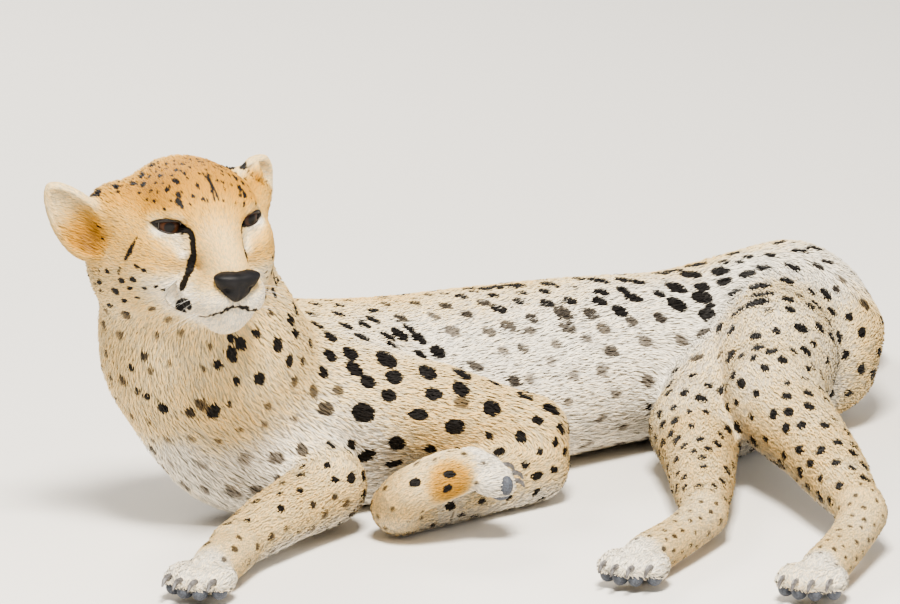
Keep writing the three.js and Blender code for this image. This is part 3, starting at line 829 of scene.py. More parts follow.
bellyShare = ease(-0.25, -0.8, backShare) * regions["trunk"]
bellyShare *= 1 - np.maximum(regions["foreUpper"], regions["hindUpper"])
throatShare = ease(0.2, 0.9, -(skinNormals @ unit(np.array([0.35, 0.62, 0.45]))))
throatShare *= ease(-190, -250, skinPoints[:, 0])
throatShare *= 1 - regions["head"]
spineShare = ease(0.45, 0.95, backShare) * regions["trunk"]


def sampleSkin(rng, count, weight):
    a, b, c = (skinPoints[skinCorners[:, k]] for k in range(3))
    area = 0.5 * np.linalg.norm(np.cross(b - a, c - a), axis=1)
    chance = np.cumsum(area * weight[skinCorners].mean(1))
    picked = np.searchsorted(chance, rng.random(count) * chance[-1])
    u, v = rng.random(count), rng.random(count)
    flip = u + v > 1
    u[flip], v[flip] = 1 - u[flip], 1 - v[flip]
    share = np.column_stack([1 - u - v, u, v])
    return picked, skinCorners[picked], share


def onSkin(values, corners, share):
    return (values[corners] * (share[:, :, None] if values.ndim == 2 else share)).sum(1)


# dark lines of the face, in the head's frame, with half widths
faceLines = {
    "tear": [
        (25.5, 54, 11, 3.6), (23.5, 60, 5, 3.5), (22.5, 64.5, -6, 3.5), (24, 62, -18, 4.0),
        (30.5, 68, -25, 4.5), (35, 75, -30, 4.4),
    ],
    "corner": [
        (34.5, 86, -42, 5.2), (34, 78, -43.5, 5.2), (31, 68, -49, 5.2), (27.5, 58, -54, 5.8),
        (26, 58, -57, 5.4),
    ],
    "lip": [
        (0, 106.2, -40.6, 2.0), (6.4, 108.2, -43.5, 2.0), (12.6, 107.8, -46.2, 1.8),
        (19.4, 104, -48.9, 1.5), (24, 97.2, -52.1, 1.2), (27.5, 90, -53.9, 1.0),
    ],
    "philtrum": [(0, 106.6, -35, 1.6), (0, 106.2, -40.6, 1.9)],
    "cheek": [(62, 33, 1, 1.5), (66, 31, -10, 2.6), (69, 28, -19, 2.2)],
    "cheekEnd": [(71, 22, -30, 1.6), (71.5, 20, -35, 1.4)],
    "crest": [(2, 28, 52, 0.8), (0, 40, 48, 1.3), (-2, 56, 37, 0.8)],
}
# single spots of the face: place in the head's frame, and half length
faceSpots = [
    (69, 23, -41, 2.9), (65, 36, -36, 2.8), (70, 13, -54, 3.4), (64, 41, -22, 2.2), (60, 47, -24, 2.0),
    (57, 44, -42, 1.8), (50, 52, -38, 1.7), (64, 30, -46, 2.3), (44, 54, -40, 1.4), (64, 19, -61, 2.7),
    (58, 33, -54, 1.9), (59, 14, -77, 3.0), (68, -4, -75, 3.1), (71, 4, -38, 2.4), (73, -8, -52, 3.0),
    (42, -20, 46, 3.0), (29, -26, 48, 3.0), (51, -12, 41, 3.2), (46, -1, 40, 2.8), (26, 27, 47, 2.8),
    (29, 41, 40, 2.7), (31, 46, 36, 2.6), (36, 30, 42, 2.0), (16, 22, 51, 2.0), (62, -18, 34, 3.4),
    (12, 40, 47, 1.6), (20, 12, 52, 2.2), (34, 6, 48, 2.2), (10, 4, 53, 2.1), (8, 56, 38, 1.3),
]


# spots of one side: place in the body's frame, half length, width to length, and how faint
sideSpots = np.array([
    (-416, -47, 308, 6.5, 0.9, 0), (57, 23, 149, 6.9, 1.1, 0), (89, 21, 148, 9.5, 1.1, 0),
    (119, 12, 147, 7.8, 1.1, 0), (171, 6, 145, 8.6, 1.1, 0), (195, 0, 143, 6.9, 1.1, 0),
    (266, 15, 138, 8.6, 1.1, 0), (294, 16, 140, 10.4, 1.1, 0), (249, 12, 139, 8.2, 1.1, 0),
    (269, -6, 138, 9.9, 1.1, 0), (293, -20, 140, 9.5, 1.1, 0), (312, -1, 143, 6.1, 1.1, 0),
    (319, -15, 145, 5.2, 1.1, 0), (304, -45, 141, 7.8, 1.1, 0), (323, -43, 144, 7.8, 1.1, 0),
    (354, -15, 147, 6.1, 1.1, 0), (336, -6, 146, 6.1, 1.1, 0), (71, 26, 148, 7.3, 1.1, 0),
    (103, -4, 145, 5.6, 1.1, 0), (122, 3, 146, 4.3, 1.1, 0), (158, 16, 146, 6.5, 1.1, 0),
    (136, -5, 145, 3.5, 1.1, 0), (172, -1, 144, 7.3, 1.1, 0), (155, -21, 141, 6.9, 1.1, 0),
    (178, -23, 139, 6.9, 1.1, 0), (206, -9, 141, 7.3, 1.1, 0), (236, -25, 135, 9.5, 1.1, 0),
    (261, -32, 132, 7.8, 1.1, 0), (282, -39, 136, 7.8, 1.1, 0), (273, -65, 132, 6.1, 1.1, 0),
    (288, -81, 138, 9.9, 1.1, 0), (267, -109, 139, 9.5, 1.1, 0), (41, 19, 149, 4.3, 1.1, 0),
    (51, 3, 147, 5.6, 1.1, 0), (80, -1, 146, 5.6, 1.1, 0), (114, -27, 139, 6.5, 1.1, 0),
    (142, -34, 136, 7.3, 1.1, 0), (180, -35, 134, 7.8, 1.1, 0), (210, -33, 133, 6.1, 1.1, 0),
    (219, -47, 125, 9.5, 1.1, 0), (250, -45, 126, 9.9, 1, 0), (250, -58, 121, 4.8, 1, 0),
    (261, -74, 128, 3.9, 1.1, 0), (248, -125, 137, 10.4, 1.1, 0), (235, -115, 129, 6.9, 1.1, 0),
    (239, -152, 135, 4.3, 1.1, 0), (65, -15, 143, 6.1, 1.1, 0), (89, -24, 140, 6.5, 1.1, 0),
    (31, -8, 145, 6.9, 1.1, 0.1), (38, -21, 141, 7.3, 1.1, 0), (95, -40, 133, 9.1, 1.1, 0.1),
    (122, -46, 130, 7.3, 1.1, 0.1), (154, -49, 128, 7.8, 1, 0), (191, -58, 119, 6.9, 1, 0.1),
    (241, -63, 116, 8.2, 1, 0), (158, -59, 120, 6.1, 1, 0.2), (60, -40, 133, 6.1, 1.1, 0.1),
    (30, -44, 131, 7.3, 1.1, 0.2), (89, -55, 124, 7.8, 1, 0.2), (124, -61, 119, 7.8, 0.9, 0.3),
    (7, -45, 130, 6.5, 1.1, 0.3), (48, -52, 125, 5.2, 1, 0.3), (201, -76, 100, 7.8, 0.8, 0.4),
    (223, -82, 105, 6.9, 1.1, 0.2), (101, -67, 114, 5.2, 0.9, 0.4), (161, -74, 105, 7.8, 0.8, 0.4),
    (30, -65, 115, 6.1, 0.9, 0.2), (66, -66, 114, 6.1, 0.9, 0.5), (120, -77, 102, 8.2, 0.8, 0.2),
    (184, -118, 94, 6.9, 1.1, 0.2), (8, -65, 116, 6.1, 0.9, 0.5), (103, -85, 89, 7.8, 0.8, 0.5),
    (52, -77, 103, 5.2, 0.9, 0.7), (71, -85, 89, 6.9, 0.8, 0.7), (22, -84, 92, 6.9, 0.8, 0.6),
    (152, -88, 73, 7.8, 0.8, 0.4), (4, -85, 93, 6.9, 0.8, 0.1), (194, -141, 101, 4.3, 1.1, 0.3),
    (-242, -92, 196, 4.4, 1.1, 0), (-148, 3, 167, 6.6, 1.1, 0), (-121, 4, 162, 5.9, 1.1, 0),
    (-140, -21, 161, 6.6, 1.1, 0), (-177, -30, 167, 5.9, 1.1, 0), (-245, -98, 192, 4.4, 1.1, 0),
    (-260, -111, 189, 5.6, 1.1, 0), (-192, -59, 165, 6.2, 1.1, 0), (-256, -113, 177, 5, 1.1, 0),
    (-188, -73, 157, 6.7, 1.1, 0), (-230, -98, 162, 5, 1.1, 0), (-308, -126, 187, 5.3, 0.8, 0),
    (-324, -126, 180, 7.3, 0.7, 0), (-284, -125, 173, 6.7, 1, 0), (-151, -46, 156, 7.3, 1.1, 0),
    (-124, -37, 152, 6.5, 1.1, 0), (-105, -24, 152, 7, 1.1, 0), (-149, -65, 149, 7.3, 1.1, 0),
    (-90, -43, 140, 8.8, 1.1, 0), (-109, -51, 142, 7.3, 1.1, 0), (-72, -33, 141, 5.9, 1.1, 0),
    (-70, -45, 135, 7.3, 1.1, 0), (-115, -67, 137, 7.3, 1.1, 0), (-203, -92, 146, 7, 1, 0),
    (-180, -90, 144, 7.9, 1.1, 0), (-270, -122, 157, 5.6, 1.1, 0), (-249, -113, 152, 4.4, 1.1, 0.1),
    (-146, -97, 135, 10.3, 1.1, 0), (-184, -102, 133, 8.1, 0.9, 0), (-219, -102, 136, 5.9, 0.9, 0),
    (-83, -64, 124, 7.3, 1.1, 0), (-61, -59, 123, 8.1, 1, 0), (-305, -127, 147, 7, 0.8, 0),
    (-326, -123, 147, 5, 0.7, 0), (-175, -110, 123, 7.3, 0.8, 0), (-149, -112, 124, 8.8, 0.8, 0),
    (-262, -118, 137, 5, 1.1, 0.3), (-160, -119, 110, 7.6, 0.7, 0), (-116, -117, 124, 8.8, 1, 0),
    (-121, -132, 108, 8.2, 0.7, 0), (-94, -135, 109, 8.8, 0.9, 0), (-80, -119, 118, 8.8, 1.1, 0),
    (-236, -110, 123, 6.5, 1, 0.3), (-208, -109, 119, 5.9, 0.8, 0.3), (-223, -112, 106, 8.8, 0.7, 0.2),
    (-186, -117, 98, 11.7, 0.7, 0), (-98, -142, 99, 7.3, 0.7, 0.4), (-71, -149, 91, 8.8, 0.8, 0),
    (-138, -132, 93, 8.8, 0.6, 0), (45, 32, 149, 5.9, 1.1, 0), (13, 24, 150, 4.4, 1.1, 0),
    (-2, 27, 151, 5.3, 1.1, 0.2), (21, 11, 149, 6.5, 1.1, 0), (-63, 11, 154, 5.3, 1.1, 0.2),
    (-8, -4, 147, 6.7, 1.1, 0.1), (2, -23, 141, 6.5, 1.1, 0.1), (-33, -19, 144, 5.9, 1.1, 0.3),
    (-29, -41, 134, 7.3, 1.1, 0.4), (-33, 8, 151, 5.9, 1.1, 0.2), (-69, -18, 147, 6.5, 1.1, 0.1),
    (-332, -124, 171, 7.7, 0.7, 0), (-343, -119, 163, 5.3, 0.7, 0), (-333, -124, 186, 4.4, 0.7, 0),
    (-350, -118, 180, 3.9, 0.7, 0.3), (-353, -113, 160, 3.4, 0.7, 0.3), (-350, -105, 127, 6.8, 0.7, 0.2),
    (-389, -59, 157, 4.4, 0.9, 0), (-387, -75, 169, 4.8, 0.8, 0.1), (-383, -78, 157, 4.4, 0.8, 0.3),
    (-387, -44, 142, 4.8, 1.1, 0.2), (-383, -59, 135, 3.9, 1, 0), (-379, -67, 132, 3.9, 0.9, 0),
    (-370, -78, 122, 5.8, 0.9, 0), (-395, -52, 185, 4.8, 1.1, 0.5), (-390, -22, 187, 4.8, 1.1, 0.4),
    (-400, -39, 205, 4.8, 1.1, 0.5), (-402, -69, 206, 4.8, 1.1, 0.3), (-340, -108, 120, 7.7, 0.8, 0),
    (-355, -96, 119, 5.8, 0.8, 0.1), (-329, -116, 126, 3.9, 0.8, 0.1), (-152, -121, 67, 8.2, 0.8, 0),
    (-107, -144, 80, 9.7, 0.7, 0), (-49, -162, 65, 6.8, 0.7, 0), (-212, -223, 61, 5.3, 0.7, 0),
    (-187, -238, 67, 5.3, 0.6, 0), (-189, -238, 55, 4.8, 0.7, 0),
], float)


def onForm(points):
    # a measured place of the head, moved onto the skin
    return settle(fromHead(np.array(points, float)), np.full(len(points), skinSet["faceDepth"]), 6, 30)


def bareShare():
    # where the rule lays no spots: muzzle, eyes, ears, toes and the end of the tail
    y, z = headSpace[:, 1], headSpace[:, 2]
    bare = ease(50, 60, y) * regions["head"] + (regions["head"] * ease(30, 22, z) * ease(-10, 0, y))
    bare = np.maximum(bare, ease(16, 8, np.abs(onEye(headSpace)[3] - 10)) * regions["head"])
    bare = np.maximum(bare, earShare(skinPoints))
    for paw in paws.values():
        away = skinPoints - np.array(paw["end"], float)
        toes = ease(56, 48, np.linalg.norm(away, axis=1)) * ease(-8, 0, away @ pawAxes(paw)[1])
        bare = np.maximum(bare, toes)
    return np.maximum(bare, ease(0.80, 0.86, tailAlong) * regions["tail"])


def nearestSkin(places):
    return [int(np.argmin(((skinPoints - p) ** 2).sum(1))) for p in places]


def placeSpots():
    rng = np.random.default_rng(spotSet["seed"])
    spacing, length = regional(**spotSet["gap"]), regional(**spotSet["length"])
    neckHere = (1 - regions["head"]) * (1 - regions["trunk"]) * (1 - regions["foreUpper"])
    for k, values in enumerate((spacing, length)):
        spine, belly, neck = (spotSet[name][k] for name in ("spine", "belly", "neck"))
        values += (spine - values) * spineShare + (belly - values) * bellyShare
        values += (neck - values) * neckHere * ease(-180, -260, skinPoints[:, 0])
    faint = np.clip(bellyShare * 0.5 + throatShare * 0.45 + 0.25 * regions["feet"], 0, 1)
    corners, share = sampleSkin(rng, spotSet["tries"], 1 / spacing ** 2)[1:]
    places = onSkin(skinPoints, corners, share)
    gaps = onSkin(spacing, corners, share)
    bareHere = onSkin(bareShare(), corners, share)
    lieHere = unit(onSkin(skinLie, corners, share))
    kept = np.zeros(len(places), bool)
    chosen = sideSpots[:, :3]
    gapChosen = 17 + 0.8 * sideSpots[:, 3]
    for i in range(len(places)):
        if bareHere[i] > 0.5:
            continue
        away = chosen - places[i]
        far = np.sqrt((away ** 2).sum(1) - 0.6 * (away @ lieHere[i]) ** 2)
        if (far < 0.5 * (gaps[i] + gapChosen)).any():
            continue
        kept[i] = True
        chosen = np.vstack([chosen, places[i]])
        gapChosen = np.append(gapChosen, gaps[i])
    corners, share = corners[kept], share[kept]
    near = nearestSkin(sideSpots[:, :3])
    size = onSkin(length, corners, share) * rng.uniform(*spotSet["sizes"], len(corners))
    size = np.append(sideSpots[:, 3], size)
    along = np.vstack([skinLie[near], onSkin(skinLie, corners, share)])
    out = np.vstack([skinNormals[near], onSkin(skinNormals, corners, share)])
    pale = np.append(sideSpots[:, 5], onSkin(faint, corners, share))
    # the face's own spots, the same on both sides within a few millimetres
    for side in (1, -1):
        other = side < 0
        marks = []
        for x, y, z, r in faceSpots:
            clear = 16 * (other and x >= 60 and z >= 30)  # off the left ear
            x = x * side + clear + other * rng.normal(0, 1.5)
            marks.append((x, y, z + other * rng.normal(0, 2)))
        places = onForm(marks)
        near = nearestSkin(places)
        chosen = np.vstack([chosen, places])
        along, out = np.vstack([along, skinLie[near]]), np.vstack([out, skinNormals[near]])
        size = np.append(size, [row[3] * 1.5 for row in faceSpots])
        pale = np.append(pale, np.zeros(len(near)))
    slim = rng.uniform(*spotSet["slim"], len(chosen))
    slim[:len(sideSpots)] = sideSpots[:, 4]
    return {
        "at": chosen, "along": unit(along), "out": unit(out), "long": size, "faint": pale,
        "slim": slim, "turn": rng.normal(0, spotSet["turn"], len(chosen)),
        "lobe": rng.uniform(-1, 1, (len(chosen), 2)),
    }


def markSpots(spots, points):
    tree = KDTree(len(points))
    for i, place in enumerate(points.tolist()):
        tree.insert(place, i)
    tree.balance()
    found = np.full(len(points), spotSet["clip"])
    pale = np.zeros(len(points))
    for i in range(len(spots["at"])):
        long, wide = spots["long"][i], spots["long"][i] * spots["slim"][i]
        near = np.array([hit[1] for hit in tree.find_range(spots["at"][i], long + 10)], int)
        if not len(near):
            continue
        away = points[near] - spots["at"][i]
        side = np.cross(spots["out"][i], spots["along"][i])
        c, s = math.cos(spots["turn"][i]), math.sin(spots["turn"][i])
        x, y = away @ spots["along"][i], away @ side
        x, y = x * c + y * s, y * c - x * s
        gap = np.full(len(near), 99.0)
        dx, dy = spots["lobe"][i] * (np.array([long, wide]) * spotSet["lobe"])
        for dx, dy, scale in ((0, 0, 1), (dx, dy, spotSet["lobeSize"])):
            a, b = long * scale, wide * scale
            size = np.hypot((x - dx) / a, (y - dy) / b)
            steep = np.hypot((x - dx) / a ** 2, (y - dy) / b ** 2)
            gap = np.minimum(gap, size * (size - 1) / np.maximum(steep, 1e-4))
        gap[np.abs(away @ spots["out"][i]) > 14] = 99
        closer = gap < found[near]
        found[near[closer]] = gap[closer]
        pale[near[closer]] = spots["faint"][i]
    return found, pale


spots = placeSpots()
spotGap, spotFaint = markSpots(spots, skinPoints)
say("%d spots" % len(spots["at"]))


def placeLines():
    bars = []
    for name, line in faceLines.items():
        fine = curved(line, 5)
        for side in (1, -1):
            # the far tear line runs a little further out below the eye
            far = name == "tear" and side < 0
            places = [(x * side - 4.5 * ease(8, 0, z) * far, y, z) for (x, y, z), r in fine]
            places = fromHead(places) if name == "corner" else onForm(places)
            radii = [r for place, r in fine]
            bars += zip(places, places[1:], radii, radii[1:])
    return bars


lineBars = placeLines()
# the tail's rings as shares of its length, and the half width and height of the patch behind an ear
darkSet = {"rings": ((0.845, 0.862), (0.893, 0.913), (0.942, 0.966)), "tail": 1080, "patch": (20, 21)}


def darkLines(points, tail):
    found = np.full(len(points), spotSet["clip"])
    head = toHead(points)
    near = np.nonzero(np.all(np.abs(head) < 140, axis=1) & (head[:, 1] > -50))[0]
    near = near[headForm(head[near]) < 8]
    close, place, q = found[near], points[near], head[near]
    for a, b, ra, rb in lineBars:
        close = np.minimum(close, bar(place, a, b, ra, rb))
    s, t, ahead = onEye(q)[:3]
    rim = almond(s, t) - 0.4 - 1.6 * ease(0, 3, t)
    found[near] = np.minimum(close, np.where(ahead > 0, rim, spotSet["clip"]))
    near = np.nonzero(np.all(np.abs(head) < 160, axis=1))[0]
    near = near[earForm(head[near]) < 3]
    for side, key in sides:
        mine = near[head[near, 0] * side > 0]
        q, dark = inEar(head[mine], side, key), earSet["dark"][key]
        wide, high = darkSet["patch"]
        patch = np.hypot((q[:, 0] - dark[0]) / wide, (q[:, 2] - dark[1]) / high) * 18 - 18
        found[mine] = np.minimum(found[mine], np.maximum(patch, q[:, 1] + 5))
    along = boneDistance(points, bones["tail"])[2]
    for start, end in darkSet["rings"]:
        ring = np.maximum(start - along, along - end) * darkSet["tail"]
        found = np.minimum(found, np.where(tail > 0.5, ring, spotSet["clip"]))
    return np.clip(found, -spotSet["clip"], spotSet["clip"])


darkGap = darkLines(skinPoints, regions["tail"])


# the coat's tone: 0 white, 0.28 cream, 0.54 sand, 0.78 tawny, 1 umber
toneSet = {
    # the ear tone at the base is tawny fur deepened by painted shade
    "body": 0.34, "head": 0.53, "brow": 0.29, "muzzle": 0.86, "ear": 0.84, "earTip": 0.56, "earRim": 0.3,
    # the patch tone and its centre darken the folded paw: painted shade over its tan fur
    "feet": 0.3, "toes": 0.08, "tailEnd": 0.05, "patch": 0.76, "pawShadeAt": (-186, -240, 60.0),
}


def headTone():
    q = headSpace
    brow = toneSet["brow"] * ease(8, 34, q[:, 2]) * ease(74, 40, q[:, 1]) * ease(-62, 0, q[:, 1])
    head = toneSet["head"] + brow - 0.1 * ease(-5, -55, q[:, 1])
    head -= 0.12 * ease(52, 80, q[:, 1]) * ease(-30, -8, q[:, 2])
    white = ease(-16, -34, q[:, 2]) * ease(20, 60, q[:, 1])
    s, t, ahead = onEye(q)[:3]
    below, above = lidHeight(s, False) - t, t - lidHeight(s, True)
    under = ease(9, 4, below) * ease(-1, 0.5, below) * ease(20, 13, np.abs(s)) * (ahead > 0)
    over = ease(11, 6, above) * ease(0, 2, above) * ease(18, 12, np.abs(s + 3)) * (ahead > 0)
    under = np.maximum(under, over * 0.5)
    m = halved(q)
    under = np.maximum(under, ease(5, 1, bar(m, (31, 55, 4), (29.5, 60, -9), 2, 2)))
    head -= 0.5 * np.clip(toneSet["muzzle"] * white + under, 0, 1)
    return head - 0.13 * ease(-10, -40, q[:, 2]) * ease(60, 10, q[:, 1])


def coatTone():
    tone = toneSet["body"] + 0.1 * spineShare - 0.3 * ease(0.75, -0.35, backShare) * regions["trunk"]
    tone -= 0.1 * regions["hindUpper"]
    tone += (headTone() - tone) * regions["head"]
    tone -= 0.04 * throatShare
    height, fold = earPlaces()[1:]
    ears = earShare(skinPoints)
    # the ears darken from tip to base: tawny fur, with painted shade at the base where the ear meets the
    # head
    tone += (toneSet["ear"] - toneSet["earTip"] * ease(-0.45, 0.55, height) - tone) * ears
    tone += (toneSet["earRim"] - tone) * ears * ease(0.7, 0.95, fold) * 0.7
    legs = np.maximum(np.maximum(regions["foreLower"], regions["hindLower"]), regions["hindUpper"])
    tone -= 0.3 * ease(0.0, -0.9, skinNormals[:, 2]) * legs
    tone += (toneSet["feet"] - tone) * regions["feet"] * 0.6
    for paw in paws.values():
        away = skinPoints - np.array(paw["end"], float)
        toes = ease(62, 46, np.linalg.norm(away, axis=1)) * ease(-22, -4, away @ pawAxes(paw)[1])
        tone += (toneSet["toes"] - tone) * toes
    # a darker tawny patch on the folded paw: painted shade on its shaded side, over the paw's own tan fur
    patch = ease(26, 12, np.linalg.norm(skinPoints - np.array(toneSet["pawShadeAt"]), axis=1))
    tone += (toneSet["patch"] - tone) * patch
    tone += (toneSet["tailEnd"] - tone) * ease(0.93, 0.975, tailAlong) * regions["tail"]
    return np.clip(tone, 0, 1)


toneHere = evened(coatTone()[:, None], skinLinks, 4)[:, 0]


markSpan = 16.0


def addMarks(mesh, spot, dark, tone, faint):
    addColors(mesh, "mark", spot / markSpan + 0.5, dark / markSpan + 0.5, tone, faint)


addMarks(skinMesh, spotGap, darkGap, toneHere, spotFaint)
say("markings")


# materials
def nodeIn(tree, kind, **values):
    return setAll(tree.nodes.new(kind), values)


def mathIn(tree, operation, *inputs, clamp=False):
    made = nodeIn(tree, "ShaderNodeMath", operation=operation, use_clamp=clamp)
    for i, value in enumerate(inputs):
        if isinstance(value, (int, float)):
            made.inputs[i].default_value = value
        else:
            tree.links.new(value, made.inputs[i])
    return made.outputs[0]


def mixIn(tree, share, a, b, blend="MIX"):
    made = nodeIn(tree, "ShaderNodeMix", data_type="RGBA", blend_type=blend)
    for slot, value in ((0, share), (6, a), (7, b)):
        if isinstance(value, (int, float)):
            made.inputs[slot].default_value = value
        elif isinstance(value, tuple):
            made.inputs[slot].default_value = (*value, 1)
        else:
            tree.links.new(value, made.inputs[slot])
    return made.outputs[2]


def swingIn(tree, value, size, middle=0.5):
    # how far a value is from its middle, times a size
    return mathIn(tree, "MULTIPLY", mathIn(tree, "SUBTRACT", value, middle), size)


def textureIn(tree, kind, scale, detail=None):
    made = nodeIn(tree, "ShaderNodeTex" + kind)
    made.inputs["Scale"].default_value = scale
    if detail is not None:
        made.inputs["Detail"].default_value = detail
    place = nodeIn(tree, "ShaderNodeTexCoord")
    tree.links.new(place.outputs["Object"], made.inputs["Vector"])
    return made.outputs["Distance" if kind == "Voronoi" else 0]


def bumpIn(tree, value, strength, distance, surface):
    made = nodeIn(tree, "ShaderNodeBump")
    made.inputs["Strength"].default_value = strength
    made.inputs["Distance"].default_value = distance
    tree.links.new(value, made.inputs["Height"])
    tree.links.new(made.outputs[0], surface.inputs["Normal"])


def partsIn(tree, layer):
    made = nodeIn(tree, "ShaderNodeVertexColor", layer_name=layer)
    parts = nodeIn(tree, "ShaderNodeSeparateColor")
    tree.links.new(made.outputs["Color"], parts.inputs[0])
    return (*list(parts.outputs)[:3], made.outputs["Alpha"])


def rampIn(tree, value, stops):
    made = nodeIn(tree, "ShaderNodeValToRGB")
    ramp = made.color_ramp
    while len(ramp.elements) < len(stops):
        ramp.elements.new(0.5)
    for element, (at, color) in zip(ramp.elements, stops):
        element.position = at
        element.color = (*color, 1)
    tree.links.new(value, made.inputs[0])
    return made.outputs[0]


furSet = {
    "white": (0.88, 0.82, 0.71), "cream": (0.80, 0.62, 0.34), "sand": (0.65, 0.39, 0.11),
    # umber is the darkest fur, and also the painted shade at the ear bases
    "tawny": (0.52, 0.25, 0.03), "umber": (0.16, 0.08, 0.03),
    "black": (0.009, 0.007, 0.006), "brown": (0.075, 0.036, 0.014),
    "broad": 14, "fine": 420,
}


def makeFurGroup():
    group = bpy.data.node_groups.new("furColor", "ShaderNodeTree")
    group.interface.new_socket("Ragged", in_out="INPUT", socket_type="NodeSocketFloat")
    group.interface.new_socket("Color", in_out="OUTPUT", socket_type="NodeSocketColor")
    group.interface.new_socket("Dark", in_out="OUTPUT", socket_type="NodeSocketFloat")
    start = nodeIn(group, "NodeGroupInput")
    end = nodeIn(group, "NodeGroupOutput")
    spot, line, tone, faint = partsIn(group, "mark")
    chance, along = partsIn(group, "lock")[:2]
    broad = textureIn(group, "Noise", furSet["broad"], 3)
    fine = textureIn(group, "Noise", furSet["fine"], 2)

    def sumOf(*values):
        total = values[0]
        for value in values[1:]:
            total = mathIn(group, "ADD", total, value)
        return total

    def times(a, b):
        return mathIn(group, "MULTIPLY", a, b)

    tone = sumOf(tone, swingIn(group, broad, 0.3), swingIn(group, chance, 0.2))
    stops = zip((0.02, 0.28, 0.54, 0.78, 1.0), ("white", "cream", "sand", "tawny", "umber"))
    base = rampIn(group, tone, [(at, furSet[name]) for at, name in stops])
    # each lock is a little lighter or darker, and darker at its root
    light = sumOf(0.68, times(chance, 0.54), times(along, 0.08), swingIn(group, fine, 0.16))
    lit = nodeIn(group, "ShaderNodeVectorMath", operation="SCALE")
    group.links.new(base, lit.inputs[0])
    group.links.new(light, lit.inputs["Scale"])
    # the edge of a spot is ragged by the width that comes in, in millimetres
    shake = mathIn(group, "SUBTRACT", times(sumOf(chance, fine), 0.5), 0.5)
    shake = times(shake, start.outputs[0])
    spotGap = sumOf(swingIn(group, spot, markSpan), shake)
    lineGap = sumOf(swingIn(group, line, markSpan), times(shake, 0.3))
    # a faint spot has a softer edge and a browner, thinner ink
    soft = sumOf(0.9, times(faint, 3.6))
    spotMask = mathIn(group, "SUBTRACT", 0.5, mathIn(group, "DIVIDE", spotGap, soft), clamp=True)
    spotMask = times(spotMask, mathIn(group, "SUBTRACT", 1.0, times(faint, 0.5)))
    lineMask = mathIn(group, "SUBTRACT", 0.5, mathIn(group, "DIVIDE", lineGap, 1.1), clamp=True)
    dark = mathIn(group, "MAXIMUM", spotMask, lineMask)
    ink = mixIn(group, faint, furSet["black"], furSet["brown"])
    group.links.new(mixIn(group, dark, lit.outputs[0], ink), end.inputs[0])
    group.links.new(dark, end.inputs[1])
    return group


furGroup = makeFurGroup()


def furMaterial(name, ragged, rough, bump):
    paint, tree, surface = newPaint(name, specular=0.28)
    fur = nodeIn(tree, "ShaderNodeGroup", node_tree=furGroup)
    fur.inputs[0].default_value = ragged
    tree.links.new(fur.outputs[0], surface.inputs["Base Color"])
    roughness = mathIn(tree, "SUBTRACT", rough, mathIn(tree, "MULTIPLY", fur.outputs[1], 0.12))
    tree.links.new(roughness, surface.inputs["Roughness"])
    if bump:
        bumpIn(tree, textureIn(tree, "Noise", 900, 3), bump, 0.0006, surface)
    return paint


skinPaint = furMaterial("skinFur", 0.8, 0.85, 0.6)
coatPaint = furMaterial("coatFur", 2.0, 0.7, 0)
skinMesh.materials.append(skinPaint)
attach(skin, "root")
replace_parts(skin, *flesh)


# an unwrap of the skin's own shape, which the tufts share
def unwrapSkin():
    selectOnly(skin)
    editAll(bpy.ops.uv.smart_project, angle_limit=math.radians(66), island_margin=0.001)
    skinMesh.uv_layers[0].name = "OFBake"


unwrapSkin()
say("skin unwrapped")


# the coat: thin tufts that overlap along the lie
coatSet = {
    "seed": 7, "total": 228000, "quickTotal": 60000, "quickWider": 1.7, "most": 32500, "patch": 0.003,
    # length, half width and how many, by region; then the three together for the finest parts
    "length": {
        "base": 10, "foreUpper": 9.5, "foreLower": 7.5, "hindUpper": 9.5, "hindLower": 7.5, "tail": 9.5,
    },
    "width": {"base": 0.62, "trunk": 0.64, "foreLower": 0.52, "hindLower": 0.52, "tail": 0.6},
    "many": {"base": 1.0, "foreLower": 1.5, "hindLower": 1.5, "tail": 1.1},
    "head": (7.5, 0.6, 2.0), "face": (6.5, 0.5, 3.2), "muzzle": (3.6, 0.4, 5.0), "ears": (5.5, 0.42, 3.6),
    "feet": (5, 0.45, 2.8), "long": 13, "earLong": 12,
    # how much the tufts differ in length, width, turn and rise
    "lengths": (0.72, 1.25), "widths": (0.75, 1.3), "swing": 0.16, "lift": (1.4, 2.2),
    # how far along the middle lies, and the least height of each corner above the floor
    "middle": 0.42, "floor": [0.3, 0.2, 0.2, 0.5, 0.3],
}


def coatRules():
    ears, face = earShare(skinPoints), faceShare(skinPoints)
    muzzle = ease(58, 84, headSpace[:, 1]) * face
    length, width, many = (regional(**coatSet[name]) for name in ("length", "width", "many"))
    most = coatSet["long"]
    length += (most - length) * bellyShare * 0.7 + (most - length) * throatShare * 0.6
    finest = {"head": regions["head"], "face": face, "muzzle": muzzle, "ears": ears}
    finest["feet"] = regions["feet"]
    for name, share in finest.items():
        for values, value in zip((length, width, many), coatSet[name]):
            values += (value - values) * share
    inner, height = earPlaces()[:2]
    inner *= ears
    length += (coatSet["earLong"] - length) * inner * ease(0.6, -0.2, height)
    # how much further some tufts stand off: throat, belly, ear cups and crown
    fluff = 0.9 * throatShare + 0.7 * bellyShare + 3.2 * inner * ease(0.5, -0.3, height)
    fluff += 0.35 * regions["head"] * (1 - muzzle)
    hidden = ease(10, 4, skinPoints[:, 2]) * ease(-0.5, -0.9, skinNormals[:, 2])
    many *= 1 - 0.75 * hidden
    s, t, ahead = onEye(headSpace)[:3]
    lidHere = ease(2.8, 1.2, almond(s, t)) * (ahead > 0) * (regions["head"] > 0.3)
    many *= 1 - lidHere
    return length, width, many, fluff


